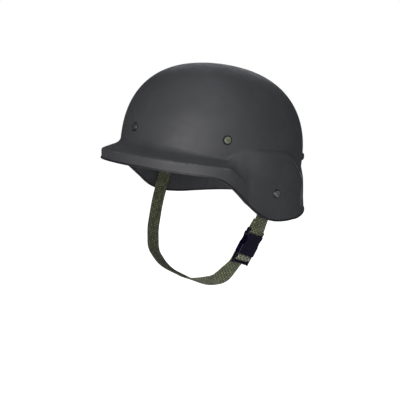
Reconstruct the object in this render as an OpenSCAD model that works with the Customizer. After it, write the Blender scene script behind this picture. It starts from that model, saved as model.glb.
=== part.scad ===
// Moulded tactical helmet with a riveted webbing liner and a buckled chin strap.
// Millimetres. +Z is up, the brow faces -Y and the wearer's left side is +X.
// The origin is the centre of the head opening, level with the headband.

/* [Shell] */
// From the head centre to the front of the dome
front_len = 126; // [122:0.5:130]
// From the head centre to the back of the dome
rear_len = 131; // [127:0.5:135]
// Half the width of the dome
half_w = 106; // [103:0.5:109]
// Height of the crown above the head centre
crown_h = 116; // [112:0.5:120]
// Thickness of the moulded wall
wall = 3.5; // [3:0.1:4]
// Roundness of the plan outline, 2 is an ellipse
plan_pow = 2.12; // [2.05:0.01:2.3]
// Fullness of the dome over the brow, 2 is an ellipse
dome_pow_front = 2.5; // [2.2:0.05:2.7]
// Fullness of the dome over the nape
dome_pow_rear = 2.33; // [2.2:0.05:2.6]

/* [Visor] */
// Height of the crease between dome and visor at the brow
crease_h = 7.6; // [4:0.1:8]
// How far the crease falls from the brow to the side
crease_fall = 13.3; // [10:0.1:14]
// Reach of the visor in front of the dome
visor_len = 24; // [20:0.5:26]
// Fall of the visor from its crease to its fold at the brow
visor_drop = 11.8; // [9:0.2:12]
// How far the fold falls from the brow to the side
fold_fall = 7; // [5:0.5:9]
// Height of the upright band along the rim
band_h = 11.8; // [10:0.2:14]
// Inward lean of the band at the rim under the brow
band_in = 1; // [0:0.1:2]
// Outward lean of the band at the rim beside the temples
band_out = 2.4; // [1:0.1:4]

/* [Ear flap] */
// Azimuth of the front edge of the flap, from the brow
flap_front_angle = 57; // [55:0.5:59]
// Turn over which the flap reaches its full width
flap_step_angle = 9; // [7:0.5:12]
// Turn over which the visor's slope becomes the flap's wall
flap_turn_angle = 24; // [20:1:28]
// Azimuth of the ridge at the back of the flap, at the rim
flap_back_angle = 131; // [129:1:133]
// Azimuth of the ridge at its top
flap_top_angle = 103; // [101:1:105]
// Turn over which the ridge falls to the nape
flap_fade_angle = 8; // [7:0.5:10]
// How far the flap stands out from the dome
flap_out = 8.3; // [6:0.1:10]
// Height of the crease over the flap above the visor crease
flap_rise = 19.4; // [17:0.2:22]
// Turn over which the crease climbs on to the flap
flap_climb_angle = 20; // [18:1:24]
// Fall from the crease to the full width of the flap
flap_slope = 15; // [12:0.5:18]
// Rim level under the ear
rim_side = -68; // [-71:0.2:-65]
// Rim level at the nape
rim_rear = -58; // [-61:0.2:-55]
// Azimuth where the rim starts to drop behind the visor
drop_start_angle = 49.5; // [48:0.5:51]
// Azimuth where the rim reaches its lowest level
drop_end_angle = 111.5; // [108:0.5:115]
// Azimuth where the rim starts to rise to the nape
nape_start_angle = 105; // [103:1:108]
// Azimuth where the rim reaches the level of the nape
nape_end_angle = 160; // [155:1:165]
// Height of the fold over the rim on the flap
fold_h = 17; // [14:0.5:19]
// How far the nape flares out at the rim, beside the flap
skirt_out = 10.2; // [8:0.2:12]
// Share of that flare at the back
skirt_rear = 0.55; // [0.4:0.05:0.8]
// Outward flare of the rim behind the ear
nape_flare = 1.4; // [0:0.1:3]

/* [Rim edging] */
// Thickness of the rubber edging
trim_t = 0.7; // [0.5:0.1:1]
// Height of its lips over the rim
trim_h = 1.3; // [1:0.1:3]

/* [Shell screws] */
// Height of the front screw
front_screw_z = 26; // [24:0.5:28]
// Azimuth of the temple screws
side_screw_angle = 56; // [55:0.5:57]
// Height of the temple screws
side_screw_z = 22.6; // [21:0.2:25]
// Azimuth of the nape screws
rear_screw_angle = 145; // [143:0.5:147]
// Height of the nape screws
rear_screw_z = 9.5; // [8.5:0.5:11]
// Diameter of the screw shank
shank_d = 5; // [4:0.1:5.5]
// Diameter of the slotted screw head
screw_head_d = 7.8; // [7:0.1:8.4]
// Diameter of the cup washer under a head
washer_d = 10.6; // [10:0.1:12]
// Width of the driver slot
slot_w = 1.2; // [0.8:0.1:1.4]
// Turn of the driver slots
slot_turn = 50; // [0:5:90]

/* [Liner] */
// Height of the headband webbing
band_web_h = 25; // [22:0.5:27]
// Thickness of the headband webbing
band_web_t = 1.5; // [1.2:0.1:1.6]
// Bend radius of the headband at its hangers
band_corner_r = 58; // [52:1:62]
// Distance from a shell screw down to its liner rivet
hanger_drop = 19; // [17:0.5:21]
// Thickness of the steel hanger plates
hanger_t = 1.5; // [1.2:0.1:1.8]
// Height of the leather sweatband
sweat_h = 36; // [32:0.5:38]
// Thickness of the leather sweatband
sweat_t = 2.4; // [2:0.1:3]
// Width of the cradle straps
cradle_w = 18; // [16:0.5:20]
// Thickness of the cradle straps
cradle_t = 1; // [0.8:0.05:1]
// Radius of the draw cord loop at the crown
crown_loop_r = 32; // [28:0.5:34]
// Distance from the crown down to the draw cord
crown_loop_drop = 26; // [24:0.5:30]
// Diameter of the draw cord
cord_d = 3.2; // [2.6:0.1:3.6]
// Radius of the foam crown pad
pad_r = 42; // [36:1:48]
// Thickness of the foam crown pad
pad_t = 8; // [6:0.5:9]

/* [Chin strap] */
// Ear screw, distance behind the head centre
ear_y = 6.4; // [5:0.2:8]
// Ear screw, height
ear_z = -34.3; // [-37:0.2:-32]
// Forward lean of the strap loop from plumb
strap_lean = 17.5; // [12:0.5:20]
// Width of the strap webbing
strap_w = 22; // [20:0.5:23]
// Thickness of the strap webbing
strap_t = 1.6; // [1.4:0.1:1.8]
// Depth of the strap loop under the ear screws
loop_depth = 136; // [130:1:142]
// Width of the loop where it turns under the chin
chin_w = 146; // [136:1:150]

/* [Buckle] */
// Width of the buckle
buckle_w = 28; // [27:0.5:30]
// Thickness of the buckle
buckle_t = 8.6; // [8.2:0.1:9.4]
// Distance from the webbing bar to the mouth of the housing
housing_len = 24; // [23:0.5:25]
// Distance from the webbing bar to the end of the plug
buckle_len = 43.4; // [43:0.1:45]
// Radius of the webbing bar
bar_r = 1.8; // [1.6:0.1:2]
// Wall of the housing
housing_wall = 1.6; // [1.4:0.1:1.8]
// Inward lean of the buckle
buckle_lean = 11; // [9:0.5:13]

/* [Hidden] */
$fn = 48;

// Clearances between pieces that touch or nearly touch
fit = 0.1;
slack = 0.3;
// The moulded shell is built of flat facets, so what bears on a curved wall stands off by this
facet_gap = 0.5;

// Smooth step from 0 to 1
function ease(t) = let(u = min(1, max(0, t))) u * u * (3 - 2 * u);
function unit(v) = v / norm(v);
function mix(a, b, t) = a + (b - a) * t;
function last(v) = v[len(v) - 1];

// Point at azimuth a from the brow, radius r and height z
function polar(a, r, z) = [r * sin(a), -r * cos(a), z];

// Plan radius of the dome, and its radius at a height
function plan_r(a) =
    let(l = cos(a) > 0 ? front_len : rear_len)
    pow(pow(abs(cos(a)) / l, plan_pow) + pow(abs(sin(a)) / half_w, plan_pow), -1 / plan_pow);
function dome_pow(a) = mix(dome_pow_front, dome_pow_rear, (1 - cos(a)) / 2);
function dome_r(a, z) =
    let(m = dome_pow(a)) plan_r(a) * pow(1 - pow(max(0, z) / crown_h, m), 1 / m);
function dome_z(a, r) =
    let(m = dome_pow(a)) crown_h * pow(1 - pow(r / plan_r(a), m), 1 / m);

// Shape of the visor, the flap and the rim against the azimuth w from the brow, 0 to 180
function portion(v, start, end) = min(1, max(0, (v - start) / (end - start)));
function on_flap(w) = ease((w - flap_front_angle) / flap_turn_angle);
function visor_crease_z(w) = crease_h - crease_fall * pow(1 - cos(min(w, 75)), 0.75);
function visor_fold_z(w) = crease_h - visor_drop - fold_fall * (1 - cos(w));
function climb(w) = 1 - pow(1 - portion(w, flap_front_angle, flap_front_angle + flap_climb_angle), 2);
function crease_z(w) =
    visor_crease_z(w)
    + flap_rise * climb(w) * (1 - ease(portion(w, flap_top_angle - 3, flap_back_angle + 2)));
function rim_z(w) =
    mix(visor_fold_z(w) - band_h,
        mix(rim_side, rim_rear, ease(portion(w, nape_start_angle, nape_end_angle))),
        ease(sin(90 * portion(w, drop_start_angle, drop_end_angle))));
function fold_z(w) =
    mix(visor_fold_z(w), min(rim_z(w) + fold_h, visor_fold_z(w)), ease((w - drop_start_angle) / 12));
// How far the nape stands out: it flares from the crease down to the rim
function skirt(w, z) =
    skirt_out * ease((w - 96) / 24) * mix(1, skirt_rear, ease((w - 145) / 35))
    * pow(max(0, (crease_z(w) - z) / (crease_z(w) - rim_z(w))), 0.75);
// How far flap or nape stands out; the ridge at the back of the flap leans with its height
function ridge_angle(z) =
    mix(flap_back_angle, flap_top_angle, pow(portion(z, rim_rear, crease_h + flap_rise / 3), 1.7));
function bulge(w, z) =
    max(flap_out * ease((w - flap_front_angle) / flap_step_angle)
        * (1 - ease((w - ridge_angle(z)) / flap_fade_angle)), skirt(w, z));
function wall_r(w, z) = plan_r(w) + bulge(w, z);
function visor_reach(w) =
    visor_len * pow(cos(0.85 * min(w, 100)), 0.8) * (1 - ease((w - flap_front_angle + 3) / 42));
function fold_r(w) =
    max(mix(dome_r(w, crease_z(w)), plan_r(w), on_flap(w)) + visor_reach(w), wall_r(w, fold_z(w)));
function band_lean(w) = mix(-band_in, band_out, ease((w - 32) / 25)) * (1 - ease((w - 80) / 14));
function rim_r(w) = max(fold_r(w) + band_lean(w), wall_r(w, rim_z(w))) + nape_flare * ease((w - 86) / 40);

// Outer profile at azimuth w as [radius, height], from the rim up to the last ring under the crown
dome_rows = 12;
function profile(w) =
    let(f = on_flap(w), m = dome_pow(w), zc = crease_z(w),
        crease = [dome_r(w, zc), zc],
        fold = [fold_r(w), fold_z(w)],
        fall = min(flap_slope, 0.6 * (zc - fold[1])),
        shoulder = [wall_r(w, zc - fall), zc - fall],
        ledge_z = zc - 0.22 * fall,
        ledge = [dome_r(w, ledge_z) + 0.5 * bulge(w, ledge_z), ledge_z],
        middle_z = (shoulder[1] + fold[1]) / 2,
        start = asin(pow(max(0, zc) / crown_h, m / 2)))
    concat(
        [[rim_r(w), rim_z(w)], fold,
         mix(mix(crease, fold, 0.92), [wall_r(w, middle_z), middle_z], f),
         mix(mix(crease, fold, 0.62), shoulder, f),
         mix(mix(crease, fold, 0.25), ledge, f),
         crease],
        [for (k = [1 : dome_rows - 1])
            let(s = mix(start, 90, k / dome_rows))
            [plan_r(w) * pow(cos(s), 2 / m), crown_h * pow(sin(s), 2 / m)]]);

// Azimuths of the columns, closer together where the flap steps out and fades
half_cols = [
    for (a = [0 : 6 : 48]) a,
    for (k = [0 : 6]) mix(flap_front_angle - 6, flap_front_angle + flap_step_angle + 3, k / 6),
    for (k = [1 : 5]) mix(flap_front_angle + flap_step_angle + 3, flap_top_angle + 3, k / 6),
    for (k = [0 : 9]) mix(flap_top_angle + 3, flap_back_angle + flap_fade_angle, k / 9),
    for (a = [146, 154, 162, 171]) a
];
cols = concat(half_cols, [180], [for (k = [len(half_cols) - 1 : -1 : 1]) 360 - half_cols[k]]);
function fold_azimuth(a) = a > 180 ? 360 - a : a;
outer = [for (a = cols) [for (q = profile(fold_azimuth(a))) polar(a, q[0], q[1])]];
rows = len(outer[0]);

// Inner skin, one wall thickness inside the outer skin
function skin_normal(c, k) =
    let(n = len(cols), l = outer[(c + n - 1) % n], r = outer[(c + 1) % n], o = outer[c],
        up = k == rows - 1 ? [0, 0, crown_h] : o[k + 1])
    unit(cross(r[k] - l[k], up - o[k - 1]));
function rim_normal(c) =
    let(n = len(cols), d = outer[(c + 1) % n][0] - outer[(c + n - 1) % n][0]) unit([d[1], -d[0], 0]);
inner = [for (c = [0 : len(cols) - 1])
    [for (k = [0 : rows - 1]) outer[c][k] - wall * (k == 0 ? rim_normal(c) : skin_normal(c, k))]];

// Solid between two skins of c columns and r rings, closed by a pole each and joined along ring 0
module closed_skin(out, out_pole, inn, inn_pole) {
    c = len(out);
    r = len(out[0]);
    n = c * r + 1;
    pts = concat([for (col = out) each col], [out_pole], [for (col = inn) each col], [inn_pole]);
    faces = [
        for (i = [0 : c - 1])
            let(j = (i + 1) % c)
            each concat(
                [for (k = [0 : r - 2]) each [
                    [i * r + k, i * r + k + 1, j * r + k + 1], [i * r + k, j * r + k + 1, j * r + k],
                    [n + i * r + k, n + j * r + k + 1, n + i * r + k + 1],
                    [n + i * r + k, n + j * r + k, n + j * r + k + 1]]],
                [[i * r + r - 1, c * r, j * r + r - 1], [n + i * r + r - 1, n + j * r + r - 1, n + c * r],
                 [i * r, j * r, n + j * r], [i * r, n + j * r, n + i * r]])
    ];
    polyhedron(pts, faces);
}

// Solid swept through a list of rings of points, closed on itself or capped at both ends
module loft(rings, closed = false) {
    m = len(rings[0]);
    n = len(rings);
    sides = [
        for (i = [0 : closed ? n - 1 : n - 2], k = [0 : m - 1])
            let(a = i * m, b = ((i + 1) % n) * m, q = (k + 1) % m)
            each [[a + k, b + q, b + k], [a + k, a + q, b + q]]
    ];
    caps = closed ? [] : [[for (k = [m - 1 : -1 : 0]) k], [for (k = [0 : m - 1]) (n - 1) * m + k]];
    polyhedron([for (r = rings) each r], concat(sides, caps));
}

// Flat webbing of width w and thickness t along a path, with one width direction per point
module ribbon(path, across, w, t) {
    n = len(path) - 1;
    loft([for (i = [0 : n])
        let(d = unit(path[min(i + 1, n)] - path[max(i - 1, 0)]), s = across[i] * w / 2,
            h = unit(cross(d, across[i])) * t / 2)
        [path[i] + s + h, path[i] + s - h, path[i] - s - h, path[i] - s + h]]);
}

// Path through points with each inner corner rounded to its radius
function corner(a, b, c, r, steps) =
    let(u = unit(a - b), v = unit(c - b), h = acos(u * v) / 2, d = r / tan(h),
        o = b + unit(u + v) * r / sin(h), s = b + u * d, e = b + v * d)
    [for (i = [0 : steps]) o + unit(mix(s, e, i / steps) - o) * r];
function rounded(pts, radii, steps) = concat(
    [pts[0]],
    [for (i = [1 : len(pts) - 2]) each corner(pts[i - 1], pts[i], pts[i + 1], radii[i - 1], steps)],
    [last(pts)]);

// Places of the shell screws as [azimuth, height]
front_seat = [0, front_screw_z];
side_seats = [[side_screw_angle, side_screw_z], [-side_screw_angle, side_screw_z]];
rear_seats = [[rear_screw_angle, rear_screw_z], [-rear_screw_angle, rear_screw_z]];
liner_seats = concat([front_seat], side_seats, rear_seats);

function dome_point(s) = polar(s[0], dome_r(s[0], s[1]), s[1]);
function dome_normal(s) =
    let(d = 0.5, u = dome_point(s + [d, 0]) - dome_point(s - [d, 0]),
        v = dome_point(s + [0, d]) - dome_point(s - [0, d]))
    unit(cross(u, v));
function heading(n) = atan2(n[1], n[0]);

// Local +Z is the outward normal of the dome, local +X points down
module on_dome(s) {
    n = dome_normal(s);
    translate(dome_point(s)) rotate([0, 90 - asin(n[2]), heading(n)]) children();
}
// The same, but kept upright
module at_wall(s) {
    translate(dome_point(s)) rotate([0, 90, heading(dome_normal(s))]) children();
}
// The ear screws lie along X on the outside of the flap
ear_angle = 90 + atan(ear_y / half_w);
ear_out = wall_r(ear_angle, ear_z) * cos(ear_angle - 90);
module at_ear(side) {
    translate([side * ear_out, ear_y, ear_z]) rotate([0, 90, side > 0 ? 0 : 180]) children();
}

// Cup washer and slotted screw, seated on local z = 0
washer_h = 1.6;
module cup_washer() {
    rotate_extrude() polygon([
        [shank_d / 2 + slack, 0], [washer_d / 2, 0], [washer_d / 2, 0.4], [washer_d / 2 - 0.9, washer_h],
        [screw_head_d / 2 + fit, washer_h], [shank_d / 2 + slack, washer_h - 1.1]]);
}
module slotted_screw(length) {
    r = screw_head_d / 2;
    difference() {
        rotate_extrude() polygon(concat(
            [[0, -length], [shank_d / 2, -length], [shank_d / 2, washer_h - 1]],
            [[r, washer_h + fit]],
            [for (k = [0 : 4]) [r * cos(18 * k), washer_h + 0.3 + 0.9 * sin(18 * k)]],
            [[0, washer_h + 1.2]]));
        rotate([0, 0, slot_turn]) translate([-r - 1, -slot_w / 2, washer_h + 0.4])
            cube([2 * r + 2, slot_w, 3]);
    }
}

// Depths under the outer skin of what is stacked behind a liner screw
hanger_z = wall + 1.5;
band_face_z = hanger_z + hanger_t + fit;
nut_z = hanger_z + hanger_t + 0.55;
nut_t = 2.4;
liner_screw_len = nut_z + nut_t - 0.4;

module liner_nut() {
    translate([0, 0, -nut_z - nut_t]) difference() {
        cylinder(r = shank_d / 2 + 2.2, h = nut_t, $fn = 6);
        translate([0, 0, -1]) cylinder(d = shank_d + 2 * fit, h = nut_t + 2);
    }
}

// A-shaped hanger plate: screw hole on top, window in the middle, rivet hole at the foot
rivet_d = 4;
hanger_top_r = 7.5;
hanger_foot_w = 24;
module hanger_plate() {
    foot_r = 3;
    translate([0, 0, -hanger_z - hanger_t]) difference() {
        linear_extrude(hanger_t) hull() {
            circle(hanger_top_r);
            for (s = [-1, 1])
                translate([hanger_drop + 5, s * (hanger_foot_w / 2 - foot_r)]) circle(foot_r, $fn = 24);
        }
        translate([0, 0, -1]) cylinder(d = shank_d + 1.6, h = hanger_t + 2);
        translate([hanger_drop, 0, -1]) cylinder(d = rivet_d + 2 * fit, h = hanger_t + 2);
        translate([hanger_top_r + 0.8, -4.5, -1]) cube([3.4, 9, hanger_t + 2]);
    }
}

// Rivet through hanger plate and headband
module band_rivet() {
    head = 0.9;
    bottom = band_face_z + band_web_t + slack;
    translate([hanger_drop, 0, 0]) {
        translate([0, 0, -bottom]) cylinder(d = rivet_d, h = bottom - hanger_z + fit);
        translate([0, 0, -hanger_z + fit]) cylinder(d1 = rivet_d + 3, d2 = rivet_d, h = head);
        translate([0, 0, -bottom - head]) cylinder(d1 = rivet_d + 1, d2 = rivet_d + 3, h = head);
    }
}

// Headband path: a rounded pentagon with one bend at each hanger plate
function bend_centre(s) =
    let(p = dome_point(s), h = heading(dome_normal(s)), d = band_face_z + band_corner_r)
    [p[0] - d * cos(h), p[1] - d * sin(h)];
bend_centres = [for (s = [front_seat, side_seats[0], rear_seats[0], rear_seats[1], side_seats[1]])
    bend_centre(s)];
bend_steps = 8;
// Heading of the outward normal of the straight run that follows bend i
function run_normal(i) =
    let(d = bend_centres[(i + 1) % 5] - bend_centres[i % 5]) atan2(-d[0], d[1]);
function band_path(inset) = [
    for (i = [0 : 4])
        let(a = run_normal(i + 4), turn = (run_normal(i) - a + 720) % 360)
        for (k = [0 : bend_steps])
            let(h = a + turn * k / bend_steps)
            bend_centres[i] + (band_corner_r - inset) * [cos(h), sin(h)]
];
// The headband hangs from the rivets, so it lies lower at the nape than at the brow
front_rivet = [dome_point(front_seat)[1], front_screw_z - hanger_drop];
rear_rivet = [dome_point(rear_seats[0])[1], rear_screw_z - hanger_drop];
function band_z(y) =
    mix(front_rivet[1], rear_rivet[1], (y - front_rivet[0]) / (rear_rivet[0] - front_rivet[0]));

// Upright strip on the headband path, from inset depth d0 to d1 and from z0 to z1 about its mid line
module band_strip(d0, d1, z0, z1) {
    out = band_path(d0);
    inn = band_path(d1);
    loft([for (i = [0 : len(out) - 1])
        let(o = out[i], n = inn[i], zo = band_z(o[1]))
        [[o[0], o[1], zo + z0], [o[0], o[1], zo + z1], [n[0], n[1], zo + z1], [n[0], n[1], zo + z0]]],
        closed = true);
}

// Place at fraction f along the straight run after bend i, local +X along it and +Y outward
function run_point(i, f, inset) =
    let(h = run_normal(i), c = mix(bend_centres[i % 5], bend_centres[(i + 1) % 5], f))
    c + (band_corner_r - inset) * [cos(h), sin(h)];
module on_run(i, f, inset, shift = 0) {
    h = run_normal(i);
    p = run_point(i, f, inset) + shift * [sin(h), -cos(h)];
    translate([p[0], p[1], band_z(p[1])]) rotate([0, 0, h - 90]) children();
}

// Depths of the layers inside the headband
lap_gap = 1.6;
sweat_in = band_web_t + lap_gap;
sweat_top = band_web_h / 2 - 1.5;

clip_t = 0.7;
clip_w = 9;
clip_h = 14;
clip_lip_h = 10;
// Places along the headband as [bend, fraction, shift]; runs 0 to 4 go from the brow round the left side
beside = (cradle_w + clip_w) / 2 + 2 * slack;
clip_places = [[0, 0.5, -beside], [0, 0.5, beside], [1, 0.5, 0], [2, 0.5, 0], [3, 0.5, 0], [4, 0.5, -beside],
    [4, 0.5, beside]];
cradle_places = [[0, 0.5], [1, 0.2], [1, 0.86], [3, 0.14], [3, 0.8], [4, 0.5]];

module sweatband_clip() {
    inner_y = -band_web_t - slack - clip_t;
    top = band_web_h / 2 + 0.7;
    translate([-clip_w / 2, 0, 0]) {
        translate([0, slack, top - clip_h]) cube([clip_w, clip_t, clip_h]);
        translate([0, inner_y, top - clip_lip_h]) cube([clip_w, clip_t, clip_lip_h]);
        translate([0, inner_y, top - fit]) cube([clip_w, slack + clip_t - inner_y, clip_t]);
    }
}

// Crown of the cradle: each strap rises from the headband, wraps the draw cord and laps under itself
crown_centre = [0, 2];
crown_loop_z = crown_h - crown_loop_drop;
cradle_in = band_web_t + lap_gap / 2;
cradle_pow = 2.2;
cradle_end_w = 11;
// How far a cradle strap reaches down behind the headband
cradle_tuck = 22;
// A flat loop round a curved cord needs room for the bow of the cord
loop_r = cord_d / 2 + cradle_end_w * cradle_end_w / (8 * crown_loop_r) + slack + cradle_t / 2;
arch_steps = 9;
wrap_steps = 5;
function cradle_path(i, f) =
    let(p = run_point(i, f, cradle_in), c = crown_centre, d = norm(p - c), u = (p - c) / d,
        z0 = band_z(p[1]) + band_web_h / 2, zt = crown_loop_z + loop_r,
        s_end = acos(pow(crown_loop_r / d, cradle_pow / 2)),
        rise = (zt - z0) / pow(sin(s_end), 2 / cradle_pow),
        arch = [for (k = [0 : arch_steps]) let(s = s_end * k / arch_steps)
            [d * pow(cos(s), 2 / cradle_pow), z0 + rise * pow(sin(s), 2 / cradle_pow)]],
        wrap = [for (k = [1 : wrap_steps]) let(t = 90 + 180 * k / wrap_steps)
            [crown_loop_r + loop_r * cos(t), crown_loop_z + loop_r * sin(t)]],
        lap = arch[arch_steps - 1] - [0, cradle_t + slack])
    [for (q = concat([[d, z0 - cradle_tuck]], arch, wrap, [mix(last(wrap), lap, 0.5), lap]))
        [c[0] + u[0] * q[0], c[1] + u[1] * q[0], q[1]]];
// The strap lies flat on the headband and turns to face the crown as it rises
function cradle_across(i, f) =
    let(p = run_point(i, f, cradle_in), c = crown_centre, h = run_normal(i), u = unit(p - c),
        start = [-sin(h), cos(h), 0], end = [-u[1], u[0], 0], n = len(cradle_path(i, f)) - 1)
    [for (k = [0 : n])
        unit(mix(start, end, ease((k - 1) / 6))) * mix(1, cradle_end_w / cradle_w, ease((k - 6) / 4))];

// Foam pad under the crown, grown from the inner skin, with its edge drawn in
pad_gap = 0.7;
pad_steps = 32;
function pad_point(a, r, drop) = polar(a, r, dome_z(a, r) - wall * 1.03 - pad_gap - drop);

// Chin strap frame: the loop lies in the local XZ plane, through both ear screws
module strap_frame() {
    translate([0, ear_y, ear_z]) rotate([-strap_lean, 0, 0]) children();
}
// Middle of the webbing at the ear screw, seen from the outer skin
strap_in = wall + 3;
eyelet_bore_r = 3.6;
eyelet_r = 6.5;
ear_x = ear_out - strap_in;
strap_top = eyelet_r + 4.5;
// The webbing hangs straight past the eyelet, then leans in to pass the rim on its way to the buckle
strap_bend = [ear_x, -eyelet_r - 2.5];
strap_pass = [ear_x - 2, rim_side - ear_z + 2.7];
strap_bend_radii = strap_w * [2.7, 3.6];
bar_x = strap_pass[0] - 2.7;
bar_z = strap_pass[1] - 19;
// Height of the corner under the jaw over the lowest point of the loop
chin_corner = 16;
// Point of the buckle frame in the strap frame, as [x, z]
function from_buckle(x, z) =
    [bar_x + x * cos(buckle_lean) + z * sin(buckle_lean), bar_z - x * sin(buckle_lean) + z * cos(buckle_lean)];
module buckle_frame() {
    strap_frame() translate([bar_x, 0, bar_z]) rotate([0, buckle_lean, 0]) children();
}
function upright(path) = [for (q = path) [q[0], 0, q[1]]];
module strap_ribbon(path) {
    ribbon(upright(path), [for (q = path) [0, 1, 0]], strap_w, strap_t);
}
module eyelet_hole(side) {
    translate([side * ear_x, 0, 0]) rotate([0, 90, 0])
        cylinder(r = eyelet_bore_r + 0.7 + fit, h = 3 * strap_t, center = true);
}
// Webbing wraps a bar of radius r at this distance from its centre
wrap_gap = 0.25;
function wrap_r(r) = r + wrap_gap + strap_t / 2;
module eyelet() {
    t = strap_t / 2 + fit;
    rotate_extrude() polygon([
        [eyelet_bore_r, -t - 0.6], [eyelet_r, -t - 0.6], [eyelet_r, -t], [eyelet_bore_r + 0.7, -t],
        [eyelet_bore_r + 0.7, t], [eyelet_r, t], [eyelet_r, t + 0.6], [eyelet_bore_r, t + 0.6]]);
}

// Ear nut: a barrel through the eyelet, with a flange that keeps the strap on
ear_nut_r = eyelet_bore_r - slack;
ear_flange_t = 1.4;
ear_nut_in = strap_in + strap_t / 2 + fit + 0.6 + slack;
module ear_nut() {
    difference() {
        union() {
            translate([0, 0, -ear_nut_in]) cylinder(r = ear_nut_r, h = ear_nut_in - wall - facet_gap);
            translate([0, 0, -ear_nut_in - ear_flange_t]) cylinder(r = eyelet_r, h = ear_flange_t);
        }
        translate([0, 0, -ear_nut_in - ear_flange_t - 1]) cylinder(d = shank_d + 2 * fit, h = ear_nut_in + 5);
    }
}

// Buckle sections, measured down from the webbing bar in the buckle frame
housing_top = bar_r + wrap_gap + strap_t + slack;
mouth_h = buckle_t - 2 * housing_wall;
mouth_w = buckle_w - 2 * (housing_wall + 0.7);
window_top = 8;
window_low = 16.5;
// Thumb scallop at each window
waist_r = 11;
waist_in = 2.6;
shoulder_len = 6;
plug_top = housing_len + slack;
ladder_top = plug_top + shoulder_len;
end_bar_r = 2.1;
end_bar_z = buckle_len - end_bar_r;
mid_bar_r = 1.9;
mid_bar_z = ladder_top + 0.7 + strap_t + mid_bar_r;
rail_w = 2.2;
// Rounded block from depth z0 to z1 below the bar, of width w and thickness t
module block(z0, z1, w, t, r) {
    hull() for (y = [-1, 1], x = [-1, 1])
        translate([x * (t / 2 - r), y * (w / 2 - r), -z1]) cylinder(r = r, h = z1 - z0, $fn = 24);
}
prong_root_z = ladder_top - 1.2;
prong_w = 2.6;
prong_t = mouth_h - 2 * slack;
prong_y = mouth_w / 2 - prong_w - 0.7;
// Pocket in the shoulder, wide enough for a squeezed prong
pocket_t = prong_t + 2 * fit;
pocket_w = prong_w + 1.9;

module shell() {
    color("#45464a") difference() {
        closed_skin(outer, [0, 0, crown_h], inner, [0, 0, crown_h - wall]);
        for (s = liner_seats) on_dome(s)
            cylinder(d = shank_d + 2 * slack, h = 4 * wall, center = true);
        for (side = [-1, 1]) at_ear(side)
            cylinder(d = shank_d + 2 * slack, h = 6 * wall, center = true);
    }
}

// Rubber edging: a U section that follows the rim, its lips lying on both skins
module edge_trim() {
    n = len(cols);
    gap = 2.5 * fit;
    color("#1b1b1c") loft([for (c = [0 : n - 1])
        let(o = outer[c][0], q = inner[c][0], side = rim_normal(c),
            step = outer[(c + 1) % n][0] - outer[(c + n - 1) % n][0],
            grow = norm(step) / norm([step[0], step[1]]),
            up = (outer[c][1] - o) / (outer[c][1][2] - o[2]),
            up_in = (inner[c][1] - q) / (inner[c][1][2] - q[2]),
            h = trim_h * grow, low = [0, 0, -gap * grow], base = [0, 0, -(gap + trim_t) * grow])
        [o + base + side * (gap + trim_t * 0.6), o + side * (gap + trim_t), o + up * h + side * (gap + trim_t * 0.8),
         o + up * h + side * gap, o + low + side * gap, q + low - side * gap, q + up_in * h - side * gap,
         q + up_in * h - side * (gap + trim_t * 0.8), q - side * (gap + trim_t),
         q + base - side * (gap + trim_t * 0.6)]], closed = true);
}

module cup_washers() {
    color("#161617") {
        for (s = liner_seats) on_dome(s) translate([0, 0, fit]) cup_washer();
        for (side = [-1, 1]) at_ear(side) translate([0, 0, slack]) cup_washer();
    }
}
module front_screw() {
    color("#1d1d1f") on_dome(front_seat) translate([0, 0, fit]) slotted_screw(liner_screw_len);
}
module side_screws() {
    color("#5b6048") for (s = side_seats) on_dome(s) translate([0, 0, fit]) slotted_screw(liner_screw_len);
}
module rear_screws() {
    color("#1d1d1f") for (s = rear_seats) on_dome(s) translate([0, 0, fit]) slotted_screw(liner_screw_len);
}
module ear_screws() {
    color("#3a3b3c") for (side = [-1, 1]) at_ear(side) translate([0, 0, slack])
        slotted_screw(ear_nut_in + ear_flange_t);
}
module liner_nuts() {
    color("#8b8d8c") for (s = liner_seats) on_dome(s) liner_nut();
}
module ear_nuts() {
    color("#8b8d8c") for (side = [-1, 1]) at_ear(side) ear_nut();
}
module hanger_plates() {
    color("#7d8176") for (s = liner_seats) at_wall(s) hanger_plate();
}
module band_rivets() {
    color("#a5a69c") for (s = liner_seats) at_wall(s) band_rivet();
}
module web_band() {
    color("#6b7052") difference() {
        band_strip(0, band_web_t, -band_web_h / 2, band_web_h / 2);
        for (s = liner_seats) at_wall(s) translate([hanger_drop, 0, -band_face_z - 3 * band_web_t])
            cylinder(d = rivet_d + 2 * fit, h = 5 * band_web_t);
    }
}
module sweatband() {
    color("#2b2622") band_strip(sweat_in, sweat_in + sweat_t, sweat_top - sweat_h, sweat_top);
}
module sweatband_clips() {
    color("#8d8f8a") for (p = clip_places) on_run(p[0], p[1], 0, p[2]) sweatband_clip();
}
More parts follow.
